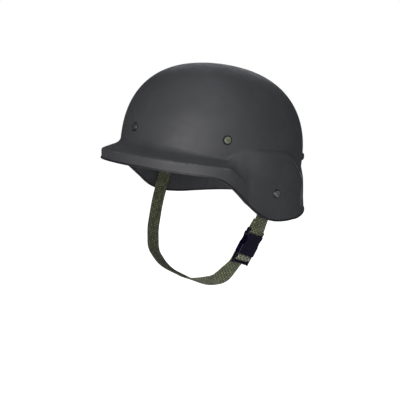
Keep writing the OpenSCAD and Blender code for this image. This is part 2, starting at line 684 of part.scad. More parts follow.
// Hook and loop tab that sets the size of the sweatband at the nape
module size_tab() {
    w = 44;
    h = 24;
    color("#3b3a33") on_run(2, 0.5, sweat_in + sweat_t + slack)
        translate([-w / 2, -1.4, sweat_top - sweat_h / 2 - h / 2]) cube([w, 1.4, h]);
}
module cradle_straps() {
    color("#6b7052") for (p = cradle_places)
        ribbon(cradle_path(p[0], p[1]), cradle_across(p[0], p[1]), cradle_w, cradle_t);
}
module crown_cord() {
    n = 36;
    sides = 8;
    ring = function(c, u, v) [for (k = [0 : sides - 1])
        let(t = 360 * k / sides) c + (u * cos(t) + v * sin(t)) * cord_d / 2];
    up = [0, 0, 1];
    knot = [0, crown_loop_r, 0];
    tail_len = 19;
    color("#4f5340") translate([crown_centre[0], crown_centre[1], crown_loop_z]) {
        loft([for (k = [0 : n - 1]) let(a = 360 * k / n, u = [cos(a), sin(a), 0]) ring(u * crown_loop_r, u, up)],
            closed = true);
        translate(knot) sphere(1.06 * cord_d, $fn = 12);
        for (s = [-1, 1]) let(d = [s * 0.55, 0.8, -0.25], u = unit(cross(d, up)), v = unit(cross(d, u)))
            loft([for (t = [0, tail_len / 2, tail_len]) ring(knot + d * t - up * t * t * 0.01, v, u)]);
    }
}
module crown_pad() {
    skin = function(rows) [for (k = [0 : pad_steps - 1])
        [for (q = rows) pad_point(k * 360 / pad_steps, q[0] * pad_r, q[1] * pad_t)]];
    color("#242526") closed_skin(
        skin([[1, 0.4], [0.96, 0.08], [0.62, 0], [0.3, 0]]), pad_point(0, 0, 0),
        skin([[1, 0.5], [0.95, 0.82], [0.8, 0.95], [0.3, 1]]), pad_point(0, 0, pad_t));
}

module left_strap() {
    w = wrap_r(bar_r);
    down = rounded([[ear_x, strap_top], strap_bend, strap_pass, from_buckle(w, 0)], strap_bend_radii, 3);
    around = [for (k = [1 : 6]) from_buckle(w * cos(30 * k), -w * sin(30 * k))];
    lap = mix(strap_pass, from_buckle(w, 0), 0.25) - [strap_t + 0.5, 0];
    color("#6b7052") strap_frame() difference() {
        strap_ribbon(concat(down, around, [from_buckle(-w, 3 * bar_r), lap]));
        eyelet_hole(1);
    }
}
module left_eyelet() {
    color("#30312f") strap_frame() translate([ear_x, 0, 0]) rotate([0, 90, 0]) eyelet();
}
module right_eyelet() {
    color("#30312f") strap_frame() translate([-ear_x, 0, 0]) rotate([0, 90, 0]) eyelet();
}

// Female half: webbing bar between two cheeks over a hollow body with a window on each side
module buckle_housing() {
    w = buckle_w;
    color("#101018") buckle_frame() {
        difference() {
            union() {
                block(housing_top, housing_len, w, buckle_t, 2.2);
                for (s = [-1, 1]) translate([0, s * (w / 2 - rail_w / 2), 0])
                    block(-bar_r, housing_top + 1, rail_w, 2 * bar_r + 1.4, 1);
            }
            translate([-mouth_h / 2, -mouth_w / 2, -housing_len - 1])
                cube([mouth_h, mouth_w, housing_len - housing_top - housing_wall + 1]);
            for (s = [-1, 1]) translate([-mouth_h / 2, s > 0 ? mouth_w / 2 - 1 : -w, -window_low])
                cube([mouth_h, w / 2 + 4, window_low - window_top]);
            for (s = [-1, 1]) translate([0, s * (w / 2 + waist_r - waist_in), -(window_top + window_low) / 2])
                rotate([0, 90, 0]) cylinder(r = waist_r, h = 2 * buckle_t, center = true);
        }
        rotate([90, 0, 0]) cylinder(r = bar_r, h = w - rail_w, center = true);
    }
}

// Male half: shoulder, guide tongue and a ladder of two bars that the webbing runs over
module buckle_plug() {
    w = buckle_w;
    color("#101018") buckle_frame() {
        difference() {
            union() {
                block(plug_top, ladder_top, w, buckle_t, 2.2);
                for (s = [-1, 1]) translate([0, s * (w / 2 - rail_w / 2), 0])
                    block(ladder_top - 1, buckle_len, rail_w, 2 * end_bar_r, 1);
            }
            for (s = [-1, 1])
                translate([-pocket_t / 2, s * (prong_y + prong_w / 2) - pocket_w / 2, -prong_root_z - slack])
                cube([pocket_t, pocket_w, prong_root_z]);
        }
        block(housing_top + housing_wall + 2.4, plug_top + 1, 5, 3, 0.8);
        translate([0, 0, -end_bar_z]) rotate([90, 0, 0]) cylinder(r = end_bar_r, h = w - rail_w, center = true);
        translate([0, 0, -mid_bar_z]) rotate([90, 0, 0]) cylinder(r = mid_bar_r, h = w - rail_w, center = true);
    }
}
// Spring arm with its catch, rooted in the shoulder of the plug
module prong(s) {
    catch_y = buckle_w / 2 - 1.6;
    translate([prong_t / 2, 0, 0]) rotate([0, -90, 0]) linear_extrude(prong_t)
        polygon([for (q = [
            [-prong_root_z, prong_y], [-prong_root_z, prong_y + prong_w], [-window_low + slack, prong_y + prong_w],
            [-window_low + slack, catch_y], [-window_low + 3, catch_y], [-window_top - 2.4, prong_y + prong_w + 0.6],
            [-window_top - 1, prong_y + prong_w - 1], [-window_top - 1, prong_y], [-window_low, prong_y]])
            [q[0], s * q[1]]]);
}
module prong_front() {
    color("#101018") buckle_frame() prong(-1);
}
module prong_rear() {
    color("#101018") buckle_frame() prong(1);
}
module plug_webbing() {
    w = wrap_r(mid_bar_r);
    color("#6b7052") strap_frame() strap_ribbon([
        for (k = [0 : 8]) let(t = -125 + 250 * k / 8) from_buckle(w * cos(t), -mid_bar_z + w * sin(t))]);
}
module chin_strap() {
    back = -buckle_t / 2 - strap_t / 2 - slack;
    chin = [[chin_w / 2, -loop_depth + chin_corner], [chin_w / 4, -loop_depth]];
    left = concat([from_buckle(back, 3 - mid_bar_z), from_buckle(back, -buckle_len)], chin);
    far = concat([[ear_x, strap_top], strap_bend, strap_pass, from_buckle(0, -2),
        from_buckle(back + 1, -buckle_len)], chin);
    right = [for (k = [len(far) - 1 : -1 : 0]) [-far[k][0], far[k][1]]];
    under_radii = strap_w * [1.1, 0.9, 4.6, 4.6, 0.9, 2.7];
    side_radii = [9 * strap_w, strap_bend_radii[1], strap_bend_radii[0]];
    color("#6b7052") strap_frame() difference() {
        strap_ribbon(rounded(concat(left, right), concat(under_radii, side_radii), 6));
        eyelet_hole(-1);
    }
}

shell();
edge_trim();
cup_washers();
front_screw();
side_screws();
rear_screws();
ear_screws();
liner_nuts();
ear_nuts();
hanger_plates();
band_rivets();
web_band();
sweatband();
sweatband_clips();
size_tab();
cradle_straps();
crown_cord();
crown_pad();
left_strap();
left_eyelet();
buckle_housing();
buckle_plug();
prong_front();
prong_rear();
plug_webbing();
chin_strap();
right_eyelet();
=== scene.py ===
"""Looks of a moulded tactical helmet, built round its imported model.

The shape functions work in millimetres and degrees; meshes are made in metres.
"""

import math

import bmesh
import bpy
import numpy as np
from mathutils import Matrix, Vector


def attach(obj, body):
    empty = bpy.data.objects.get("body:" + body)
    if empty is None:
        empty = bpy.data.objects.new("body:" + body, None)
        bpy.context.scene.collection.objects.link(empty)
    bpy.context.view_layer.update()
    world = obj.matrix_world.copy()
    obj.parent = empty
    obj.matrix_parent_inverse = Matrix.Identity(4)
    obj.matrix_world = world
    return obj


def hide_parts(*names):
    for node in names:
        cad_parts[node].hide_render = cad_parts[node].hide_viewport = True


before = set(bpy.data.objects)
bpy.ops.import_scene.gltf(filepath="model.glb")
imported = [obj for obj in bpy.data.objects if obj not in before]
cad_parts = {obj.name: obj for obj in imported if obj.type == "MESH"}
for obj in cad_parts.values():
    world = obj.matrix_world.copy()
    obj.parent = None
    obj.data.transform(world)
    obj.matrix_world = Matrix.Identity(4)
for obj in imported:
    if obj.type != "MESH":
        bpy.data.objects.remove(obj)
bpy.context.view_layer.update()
bpy.context.scene.view_settings.view_transform = "Standard"
MM = 0.001
UP = np.array([0.0, 0.0, 1.0])


# Small maths
def ease(t):
    u = np.clip(t, 0.0, 1.0)
    return u * u * (3 - 2 * u)


def mix(a, b, t):
    return a + (b - a) * t


def unit(v):
    v = np.asarray(v, float)
    return v / np.linalg.norm(v, axis=-1, keepdims=True)


def sin_deg(a):
    return np.sin(np.radians(a))


def cos_deg(a):
    return np.cos(np.radians(a))


def polar(a, r, z):
    return np.stack([r * sin_deg(a), -r * cos_deg(a), z + 0 * r], axis=-1)


def placed(name, data):
    """A new object in the scene."""
    obj = bpy.data.objects.new(name, data)
    bpy.context.scene.collection.objects.link(obj)
    return obj


# Camera, in metres and degrees
CAMERA_AZIMUTH = 49.26
CAMERA_ELEVATION = 8.5
CAMERA_ROLL = 6.23
CAMERA_PLACE = (0.48121, -0.42722, 0.03228)
CAMERA_LENS = 42.89
CAMERA_SENSOR = 36.0


def make_camera():
    back = polar(CAMERA_AZIMUTH, cos_deg(CAMERA_ELEVATION), sin_deg(CAMERA_ELEVATION))
    level = polar(CAMERA_AZIMUTH + 90, 1.0, 0.0)
    upright = np.cross(back, level)
    right = level * cos_deg(CAMERA_ROLL) + upright * sin_deg(CAMERA_ROLL)
    up = upright * cos_deg(CAMERA_ROLL) - level * sin_deg(CAMERA_ROLL)
    camera = placed("camera", bpy.data.cameras.new("camera"))
    turn = Matrix((right, up, back)).transposed().to_4x4()
    camera.matrix_world = Matrix.Translation(CAMERA_PLACE) @ turn
    camera.data.lens = CAMERA_LENS
    camera.data.sensor_width = CAMERA_SENSOR
    camera.data.clip_start = 0.01
    camera.data.clip_end = 20.0
    bpy.context.scene.camera = camera


make_camera()


# Materials
class Surface:
    """A node material, with plain numbers on the shader's own sockets."""

    def __init__(self, name, colour, roughness, metallic=0.0):
        self.material = bpy.data.materials.new(name)
        self.material.use_nodes = True
        self.material.diffuse_color = (*colour, 1.0)
        self.tree = self.material.node_tree
        self.bsdf = self.tree.nodes["Principled BSDF"]
        self.paint("Base Color", (*colour, 1.0))
        self.paint("Roughness", roughness)
        self.paint("Metallic", metallic)

    def paint(self, name, value):
        self.put(self.bsdf.inputs[name], value)

    def put(self, socket, value):
        if isinstance(value, bpy.types.NodeSocket):
            self.tree.links.new(value, socket)
        else:
            socket.default_value = value

    def add(self, kind, inputs=None, **settings):
        """Makes a node, fills its sockets by name or number and gives back its outputs."""
        node = self.tree.nodes.new(kind)
        for key, value in settings.items():
            setattr(node, key, value)
        for key, value in (inputs or {}).items():
            self.put(node.inputs[key], value)
        return node.outputs

    def place(self):
        return self.add("ShaderNodeTexCoord")["Object"]

    def uv(self):
        return self.add("ShaderNodeUVMap", uv_map="UVMap")["UV"]

    def attribute(self, name):
        return self.add("ShaderNodeAttribute", attribute_name=name)["Fac"]

    def noise(self, where, scale, detail=3.0, roughness=0.5):
        inputs = {"Vector": where, "Scale": scale, "Detail": detail, "Roughness": roughness}
        return self.add("ShaderNodeTexNoise", inputs)["Fac"]

    def cells(self, where, scale):
        return self.add("ShaderNodeTexVoronoi", {"Vector": where, "Scale": scale})["Distance"]

    def scaled(self, where, scale):
        return self.add("ShaderNodeMapping", {"Vector": where, "Scale": scale})["Vector"]

    def math(self, operation, a, b=0.0):
        return self.add("ShaderNodeMath", {0: a, 1: b}, operation=operation)[0]

    def split(self, vector):
        return self.add("ShaderNodeSeparateXYZ", {0: vector})

    def range(self, value, low, high, to_low=0.0, to_high=1.0):
        inputs = {"Value": value, "From Min": low, "From Max": high, "To Min": to_low, "To Max": to_high}
        return self.add("ShaderNodeMapRange", inputs, interpolation_type="SMOOTHSTEP")["Result"]

    def blend(self, factor, a, b):
        a, b = ((*colour, 1.0) if isinstance(colour, tuple) else colour for colour in (a, b))
        return self.add("ShaderNodeMix", {"Factor": factor, 6: a, 7: b}, data_type="RGBA")[2]

    def recess(self, reach):
        """1 in the open, 0 deep inside slots and corners."""
        light = self.add("ShaderNodeAmbientOcclusion", {"Distance": reach}, samples=8)["AO"]
        return self.range(light, 0.35, 0.85)

    def bump(self, height, distance, strength=1.0):
        inputs = {"Height": height, "Distance": distance, "Strength": strength}
        return self.add("ShaderNodeBump", inputs)["Normal"]


def moulded_plastic():
    """Fine matte charcoal moulding, a little mottled, rubbed lighter along the fold and the rim, with a
    painted highlight line along the flap's back ridge.
    """
    n = Surface("shell_moulding", (0.046, 0.047, 0.049), 0.55)
    where = n.place()
    mottle = n.range(n.noise(where, 26.0, 4.0), 0.35, 0.65)
    colour = n.blend(mottle, (0.043, 0.044, 0.046), (0.050, 0.051, 0.053))
    chips = n.noise(where, 420.0, 4.0, 0.7)
    rub = n.math("MULTIPLY", n.attribute("wear"), n.range(chips, 0.46, 0.62, 0.0, 0.5))
    # Painted highlight: a light line along the flap's back ridge, where the edge catches the light.
    line = n.range(n.math("ABSOLUTE", n.attribute("off_ridge")), 0.7, 1.8, 1.0, 0.0)
    line = n.math("MULTIPLY", n.attribute("ridge"), line)
    ridge_highlight = n.math("MULTIPLY", line, n.range(chips, 0.3, 0.55, 0.5, 1.0))
    colour = n.blend(rub, colour, (0.15, 0.15, 0.158))
    colour = n.blend(ridge_highlight, colour, (0.29, 0.29, 0.30))
    n.paint("Base Color", colour)
    n.paint("Roughness", n.range(n.noise(where, 90.0, 3.0), 0.3, 0.7, 0.5, 0.6))
    n.paint("Normal", n.bump(n.noise(where, 2600.0, 2.0), 0.00006, 0.5))
    n.paint("Specular IOR Level", 0.4)
    return n.material


def edging_rubber():
    n = Surface("edging_rubber", (0.008, 0.008, 0.009), 0.5)
    where = n.place()
    dust = n.range(n.noise(where, 150.0, 4.0), 0.45, 0.75)
    n.paint("Base Color", n.blend(dust, (0.007, 0.007, 0.009), (0.018, 0.018, 0.019)))
    n.paint("Normal", n.bump(n.noise(where, 1800.0, 2.0), 0.00005, 0.5))
    return n.material


def painted_metal(name, colour, worn, roughness, sharp=0.53):
    """Paint over steel, chipped a little on its sharpest edges, with painted shade in its slots and
    corners.
    """
    n = Surface(name, colour, roughness)
    where = n.place()
    point = n.add("ShaderNodeNewGeometry")["Pointiness"]
    edges = n.range(point, sharp, sharp + 0.07)
    chips = n.math("MULTIPLY", edges, n.range(n.noise(where, 900.0, 4.0, 0.7), 0.45, 0.6))
    tone_and_painted_shade = n.blend(n.range(n.noise(where, 500.0, 3.0), 0.3, 0.7), tuple(0.8 * v for v in colour), colour)
    # Painted shade: slots and corners are darkened by ambient occlusion.
    tone_and_painted_shade = n.blend(n.recess(0.0016), (0.004, 0.004, 0.004), tone_and_painted_shade)
    n.paint("Base Color", n.blend(chips, tone_and_painted_shade, worn))
    n.paint("Metallic", n.math("MULTIPLY", chips, 0.8))
    n.paint("Roughness", n.range(n.noise(where, 700.0, 3.0), 0.3, 0.7, roughness - 0.08, roughness + 0.08))
    n.paint("Normal", n.bump(n.noise(where, 2200.0, 2.0), 0.00004, 0.5))
    return n.material


def plated_steel():
    """Zinc plated sheet: bright, clouded, with fine scratches."""
    n = Surface("plated_steel", (0.42, 0.43, 0.42), 0.36, 1.0)
    where = n.place()
    cloud = n.range(n.noise(where, 160.0, 4.0), 0.3, 0.7)
    n.paint("Base Color", n.blend(cloud, (0.34, 0.35, 0.35), (0.5, 0.51, 0.49)))
    scratches = n.noise(n.scaled(where, (300.0, 300.0, 4000.0)), 1.0, 2.0)
    n.paint("Roughness", n.range(cloud, 0.0, 1.0, 0.3, 0.46))
    n.paint("Normal", n.bump(scratches, 0.00003, 0.5))
    return n.material


def webbing(name, yarn, shaded_gap, warp, weft, relief):
    """Coarse woven webbing. The UV map is in millimetres: across the strap, then along it."""
    n = Surface(name, yarn, 0.86)
    across, along, _ = n.split(n.uv())
    column = n.math("DIVIDE", across, warp)
    cell_column = n.math("FLOOR", column)
    # Every other column is shifted by half a float
    shift = n.math("ABSOLUTE", n.math("MULTIPLY", n.math("MODULO", cell_column, 2.0), 0.5))
    row = n.math("ADD", n.math("DIVIDE", along, weft), shift)
    falls = []
    for place, slope in ((column, 7.0), (row, 8.0)):
        off_centre = n.math("ABSOLUTE", n.math("SUBTRACT", n.math("FRACT", place), 0.5))
        falls.append(n.math("MULTIPLY", n.math("POWER", off_centre, 3.0), slope))
    height = n.math("SUBTRACT", 1.0, n.math("ADD", *falls))
    fibre = n.noise(n.scaled(n.uv(), (4.5, 0.9, 1.0)), 1.0, 3.0, 0.6)
    cell = n.add("ShaderNodeCombineXYZ", {0: cell_column, 1: n.math("FLOOR", row)})[0]
    chance = n.add("ShaderNodeTexWhiteNoise", {"Vector": cell}, noise_dimensions="3D")["Value"]
    dark, bright, fuzz = (tuple(share * v for v in yarn) for share in (0.3, 1.8, 1.9))
    threads = n.blend(n.range(fibre, 0.35, 0.7), n.blend(chance, dark, bright), fuzz)
    # Painted shade: the gap colour darkens the weave where the threads dip between the floats.
    n.paint("Base Color", n.blend(n.range(height, 0.15, 0.85), shaded_gap, threads))
    relief_height = n.math("ADD", n.range(height, -0.2, 0.9), n.math("MULTIPLY", fibre, 0.35))
    n.paint("Normal", n.bump(relief_height, relief))
    n.paint("Sheen Weight", 0.12)
    n.paint("Sheen Roughness", 0.5)
    n.paint("Specular IOR Level", 0.25)
    return n.material


def braided_cord():
    n = Surface("braided_cord", (0.085, 0.095, 0.055), 0.85)
    round_way, along, _ = n.split(n.uv())
    plaits = [n.math("SINE", n.math("MULTIPLY", n.math(way, along, round_way), 3.4))
              for way in ("ADD", "SUBTRACT")]
    weave = n.math("MAXIMUM", *plaits)
    n.paint("Base Color", n.blend(n.range(weave, 0.2, 1.0), (0.03, 0.034, 0.018), (0.12, 0.13, 0.08)))
    n.paint("Normal", n.bump(weave, 0.0002, 0.8))
    n.paint("Sheen Weight", 0.2)
    return n.material


def band_leather():
    n = Surface("band_leather", (0.028, 0.020, 0.014), 0.5)
    where = n.place()
    crease = n.noise(where, 240.0, 5.0, 0.65)
    wear = n.range(n.noise(where, 60.0, 4.0), 0.35, 0.7)
    n.paint("Base Color", n.blend(wear, (0.022, 0.016, 0.012), (0.048, 0.034, 0.024)))
    n.paint("Roughness", n.range(crease, 0.3, 0.7, 0.4, 0.62))
    height = n.math("ADD", n.cells(where, 900.0), n.math("MULTIPLY", crease, 0.8))
    n.paint("Normal", n.bump(height, 0.00018, 0.6))
    n.paint("Specular IOR Level", 0.45)
    return n.material


def pad_fabric():
    """Knitted cover of the foam pad."""
    n = Surface("pad_fabric", (0.016, 0.016, 0.018), 0.9)
    x, y, _ = n.split(n.place())
    loops = [n.math("SINE", n.math("MULTIPLY", way, pitch)) for way, pitch in ((x, 5200.0), (y, 4200.0))]
    knit = n.math("MULTIPLY", *loops)
    n.paint("Base Color", n.blend(n.range(knit, -0.6, 0.6), (0.009, 0.009, 0.011), (0.028, 0.028, 0.031)))
    n.paint("Normal", n.bump(knit, 0.00018, 0.7))
    n.paint("Sheen Weight", 0.3)
    return n.material


def hook_tape():
    n = Surface("hook_tape", (0.022, 0.021, 0.016), 0.9)
    loops = n.cells(n.place(), 1500.0)
    n.paint("Base Color", n.blend(n.range(loops, 0.1, 0.6), (0.045, 0.043, 0.034), (0.012, 0.012, 0.009)))
    n.paint("Normal", n.bump(loops, 0.0004, 0.8))
    n.paint("Sheen Weight", 0.5)
    return n.material


def buckle_plastic():
    """Glossy black acetal with a trace of flow marks."""
    n = Surface("buckle_plastic", (0.003, 0.003, 0.008), 0.16)
    where = n.place()
    flow = n.noise(n.scaled(where, (90.0, 260.0, 90.0)), 1.0, 3.0)
    n.paint("Base Color", n.blend(n.range(flow, 0.3, 0.7), (0.002, 0.001, 0.008), (0.004, 0.002, 0.013)))
    n.paint("Roughness", n.range(n.noise(where, 650.0, 3.0), 0.3, 0.7, 0.12, 0.22))
    n.paint("Specular IOR Level", 0.13)
    n.paint("Normal", n.bump(flow, 0.00012, 0.35))
    return n.material


def stitch_thread():
    n = Surface("stitch_thread", (0.10, 0.11, 0.07), 0.8)
    n.paint("Normal", n.bump(n.noise(n.place(), 3000.0, 2.0), 0.0001, 0.8))
    return n.material


SHELL = moulded_plastic()
RUBBER = edging_rubber()
BLACK_METAL = painted_metal("black_metal", (0.010, 0.010, 0.012), (0.10, 0.10, 0.10), 0.34, 0.6)
DARK_METAL = painted_metal("dark_metal", (0.038, 0.040, 0.040), (0.20, 0.20, 0.20), 0.42)
GREY_METAL = painted_metal("grey_metal", (0.120, 0.122, 0.118), (0.35, 0.35, 0.34), 0.4)
OLIVE_METAL = painted_metal("olive_metal", (0.135, 0.150, 0.095), (0.34, 0.35, 0.30), 0.4)
STEEL = plated_steel()
# Each webbing's second colour is painted shade for the gaps between its yarns.
WEBBING = webbing("olive_webbing", (0.118, 0.130, 0.070), (0.008, 0.011, 0.004), 3.1, 4.1, 0.0007)
# A lighter copy of the olive webbing, used for the lacing over the plug's bars.
LIGHTER_WEBBING = webbing("lighter_webbing", (0.200, 0.212, 0.145), (0.014, 0.017, 0.008), 3.1, 4.1, 0.0007)
LINER_WEBBING = webbing("liner_webbing", (0.150, 0.170, 0.098), (0.012, 0.016, 0.007), 1.3, 1.4, 0.0003)
CORD = braided_cord()
LEATHER = band_leather()
PAD = pad_fabric()
HOOK = hook_tape()
BUCKLE = buckle_plastic()
THREAD = stitch_thread()


# Mesh making
def lengths(path):
    """Distance along a path up to each of its points."""
    return np.concatenate([[0], np.cumsum(np.linalg.norm(np.diff(path, axis=0), axis=1))])


def mesh_object(name, points, faces, material, uv=None):
    """points in millimetres; uv, if given, holds one pair per face corner."""
    mesh = bpy.data.meshes.new(name)
    mesh.from_pydata((np.asarray(points, float) * MM).tolist(), [], faces)
    if uv is not None:
        layer = mesh.uv_layers.new(name="UVMap")
        layer.data.foreach_set("uv", np.asarray(uv, np.float32).ravel())
    mesh.polygons.foreach_set("use_smooth", [True] * len(mesh.polygons))
    mesh.materials.append(material)
    mesh.validate()
    mesh.update()
    return placed(name, mesh)


def facing_out(obj, sharp=None):
    """Turns all faces outward; edges that bend by sharp degrees or more are marked as sharp."""
    bm = bmesh.new()
    bm.from_mesh(obj.data)
    bmesh.ops.recalc_face_normals(bm, faces=bm.faces)
    if sharp:
        for edge in bm.edges:
            edge.smooth = len(edge.link_faces) == 2 and edge.calc_face_angle(0.0) < math.radians(sharp)
    bm.to_mesh(obj.data)
    bm.free()
    return obj


def lofted(name, rings, material, u=None, closed=False):
    """A skin through n rings of m points each. u, if given, has m + 1 values round a ring."""
    rings = np.asarray(rings, float)
    n, m, _ = rings.shape
    if u is None:
        around = np.linalg.norm(np.diff(np.concatenate([rings, rings[:, :1]], 1), axis=1), axis=2)
        u = np.concatenate([[0], np.cumsum(around.mean(0))])
    centre = rings.mean(1)
    v = lengths(np.concatenate([centre, centre[:1]]) if closed else centre)
    faces = []
    uv = []
    for i in range(n if closed else n - 1):
        k = (i + 1) % n
        for j in range(m):
            q = (j + 1) % m
            faces.append((i * m + j, i * m + q, k * m + q, k * m + j))
            uv += [(u[j], v[i]), (u[j + 1], v[i]), (u[j + 1], v[i + 1]), (u[j], v[i + 1])]
    if not closed:
        for i, order in ((0, range(m - 1, -1, -1)), (n - 1, range(m))):
            faces.append(tuple(i * m + j for j in order))
            uv += [(u[j], v[i]) for j in order]
    return mesh_object(name, rings.reshape(-1, 3), faces, material, uv)


def points_of(obj):
    return np.array([v.co for v in obj.data.vertices])


def move_points(obj, points):
    obj.data.vertices.foreach_set("co", points.astype(np.float32).ravel())
    obj.data.update()


def joined(name, objects):
    """One object made of several, in the first one's place."""
    bpy.ops.object.select_all(action="DESELECT")
    for o in objects:
        o.select_set(True)
    bpy.context.view_layer.objects.active = objects[0]
    bpy.ops.object.join()
    objects[0].name = name
    return objects[0]


def resample(path, step, extras=()):
    """Points every step along a path, with any per-point values carried along."""
    path = np.asarray(path, float)
    length = lengths(path)
    s = np.linspace(0, length[-1], max(2, int(round(length[-1] / step)) + 1))
    carried = [np.stack([np.interp(s, length, column) for column in np.asarray(e, float).T], 1)
               for e in (path, *extras)]
    return carried if extras else carried[0]


def strap(name, path, across, width, thick, material, step):
    """Flat webbing along a path: rounded selvedges, a slightly fuller body, UV in millimetres."""
    across = np.asarray(across, float)
    widths = np.broadcast_to(width, (len(path),))[:, None]
    path, across, widths = resample(path, step, (across, widths))
    across = unit(across)
    along = unit(np.gradient(path, axis=0))
    across = unit(across - along * np.sum(across * along, 1, keepdims=True))
    out = unit(np.cross(along, across))
    upper = [(x, 0.5 - 0.08 * abs(x) ** 6) for x in np.linspace(-1, 1, 11)]
    lower = [(x, -y) for x, y in upper[::-1]]
    section = np.array(upper + [(1.0, 0.0)] + lower + [(-1.0, 0.0)])
    # The corners of the section draw in from its outermost points
    corner = (np.abs(section[:, 0]) > 0.99) & (np.abs(section[:, 1]) > 0.01)
    reach = section[:, 0] * (1.0 - 0.25 * thick / (widths.mean() / 2) * corner)
    rings = (path[:, None] + across[:, None] * (reach[:, None] * widths[:, None] / 2)
             + out[:, None] * (section[:, 1:] * thick))
    u = reach * widths.mean() / 2
    obj = lofted(name, rings, material, np.append(u, u[0]))
    return facing_out(obj, 60.0)


# The moulded shell
FRONT_LEN = 126.0
REAR_LEN = 131.0
HALF_W = 106.0
CROWN_H = 116.0
WALL = 3.5
PLAN_POW = 2.12
DOME_POW_FRONT = 2.5
DOME_POW_REAR = 2.33
CREASE_H = 7.6
CREASE_FALL = 13.3
VISOR_LEN = 24.0
VISOR_DROP = 11.8
FOLD_FALL = 7.0
BAND_H = 11.8
BAND_IN = 1.0
BAND_OUT = 2.4
FLAP_FRONT = 57.0
FLAP_STEP = 9.0
FLAP_BACK = 131.0
FLAP_TOP = 103.0
FLAP_FADE = 8.0
FLAP_OUT = 8.3
FLAP_RISE = 19.4
FLAP_CLIMB = 20.0
FLAP_TURN = 24.0
FLAP_SLOPE = 15.0
RIM_SIDE = -68.0
RIM_REAR = -58.0
DROP_START = 49.5
DROP_END = 111.5
NAPE_START = 105.0
NAPE_END = 160.0
FOLD_H = 17.0
SKIRT_OUT = 10.2
SKIRT_REAR = 0.55
SKIRT_POW = 0.55
NAPE_FLARE = 1.4
RIDGE_BEAD = 1.1
BEAD_ANGLE = 1.3
RIDGE_H = 72.0
RIDGE_POW = 2.5
DOME_RINGS = 28


def plan_radius(a):
    length = np.where(cos_deg(a) > 0, FRONT_LEN, REAR_LEN)
    flat = (np.abs(cos_deg(a)) / length) ** PLAN_POW + (np.abs(sin_deg(a)) / HALF_W) ** PLAN_POW
    return flat ** (-1 / PLAN_POW)


def dome_power(a):
    return mix(DOME_POW_FRONT, DOME_POW_REAR, (1 - cos_deg(a)) / 2)


def dome_radius(a, z):
    m = dome_power(a)
    return plan_radius(a) * (1 - (np.maximum(0, z) / CROWN_H) ** m) ** (1 / m)


def dome_height(a, r):
    m = dome_power(a)
    return CROWN_H * (1 - (r / plan_radius(a)) ** m) ** (1 / m)


def on_flap(w):
    """How far the profile has turned from the visor's straight slope to the flap's shouldered one."""
    return ease((w - FLAP_FRONT) / FLAP_TURN)


def visor_crease_z(w):
    return CREASE_H - CREASE_FALL * (1 - cos_deg(np.minimum(w, 75))) ** 0.75


def visor_fold_z(w):
    return CREASE_H - VISOR_DROP - FOLD_FALL * (1 - cos_deg(w))


def crease_z(w):
    climb = 1 - (1 - np.clip((w - FLAP_FRONT) / FLAP_CLIMB, 0, 1)) ** 2
    return visor_crease_z(w) + FLAP_RISE * climb * (1 - ease((w - FLAP_TOP + 3) / 33))


def visor_reach(w):
    return VISOR_LEN * cos_deg(0.85 * np.minimum(w, 100)) ** 0.8 * (1 - ease((w - FLAP_FRONT + 3) / 42))


def rim_z(w):
    side = mix(RIM_SIDE, RIM_REAR, ease((w - NAPE_START) / (NAPE_END - NAPE_START)))
    drop = sin_deg(90 * np.clip((w - DROP_START) / (DROP_END - DROP_START), 0, 1))
    return mix(visor_fold_z(w) - BAND_H, side, ease(drop))


def fold_z(w):
    visor = visor_fold_z(w)
    return mix(visor, np.minimum(rim_z(w) + FOLD_H, visor), ease((w - DROP_START) / 12))


def skirt(w, z):
    """How far the nape stands out from the plan outline: it flares from the crease down to the rim."""
    depth = np.maximum(0, (crease_z(w) - z) / (crease_z(w) - rim_z(w)))
    return SKIRT_OUT * ease((w - 96) / 24) * mix(1, SKIRT_REAR, ease((w - 145) / 35)) * depth ** SKIRT_POW


def ridge_angle(z):
    """Azimuth of the flap's back edge, which leans with height."""
    return mix(FLAP_BACK, FLAP_TOP, np.clip((z - RIM_REAR) / RIDGE_H, 0, 1) ** RIDGE_POW)


def bulge(w, z):
    """How far flap or nape stands out from the plan outline, with a soft bead along the flap's back."""
    back = ridge_angle(z)
    flap = FLAP_OUT * ease((w - FLAP_FRONT) / FLAP_STEP) * (1 - ease((w - back) / FLAP_FADE))
    bead = RIDGE_BEAD * np.exp(-((w - back) / BEAD_ANGLE) ** 2)
    bead *= ease((z + 52) / 8) * ease((crease_z(w) - z) / 6)
    return np.maximum(flap, skirt(w, z)) + bead


def wall_radius(w, z):
    return plan_radius(w) + bulge(w, z)


def fold_radius(w):
    inner = mix(dome_radius(w, crease_z(w)), plan_radius(w), on_flap(w))
    return np.maximum(inner + visor_reach(w), wall_radius(w, fold_z(w)))


def rim_radius(w):
    band = fold_radius(w) + mix(-BAND_IN, BAND_OUT, ease((w - 32) / 25)) * (1 - ease((w - 80) / 14))
    return np.maximum(band, wall_radius(w, rim_z(w))) + NAPE_FLARE * ease((w - 86) / 40)


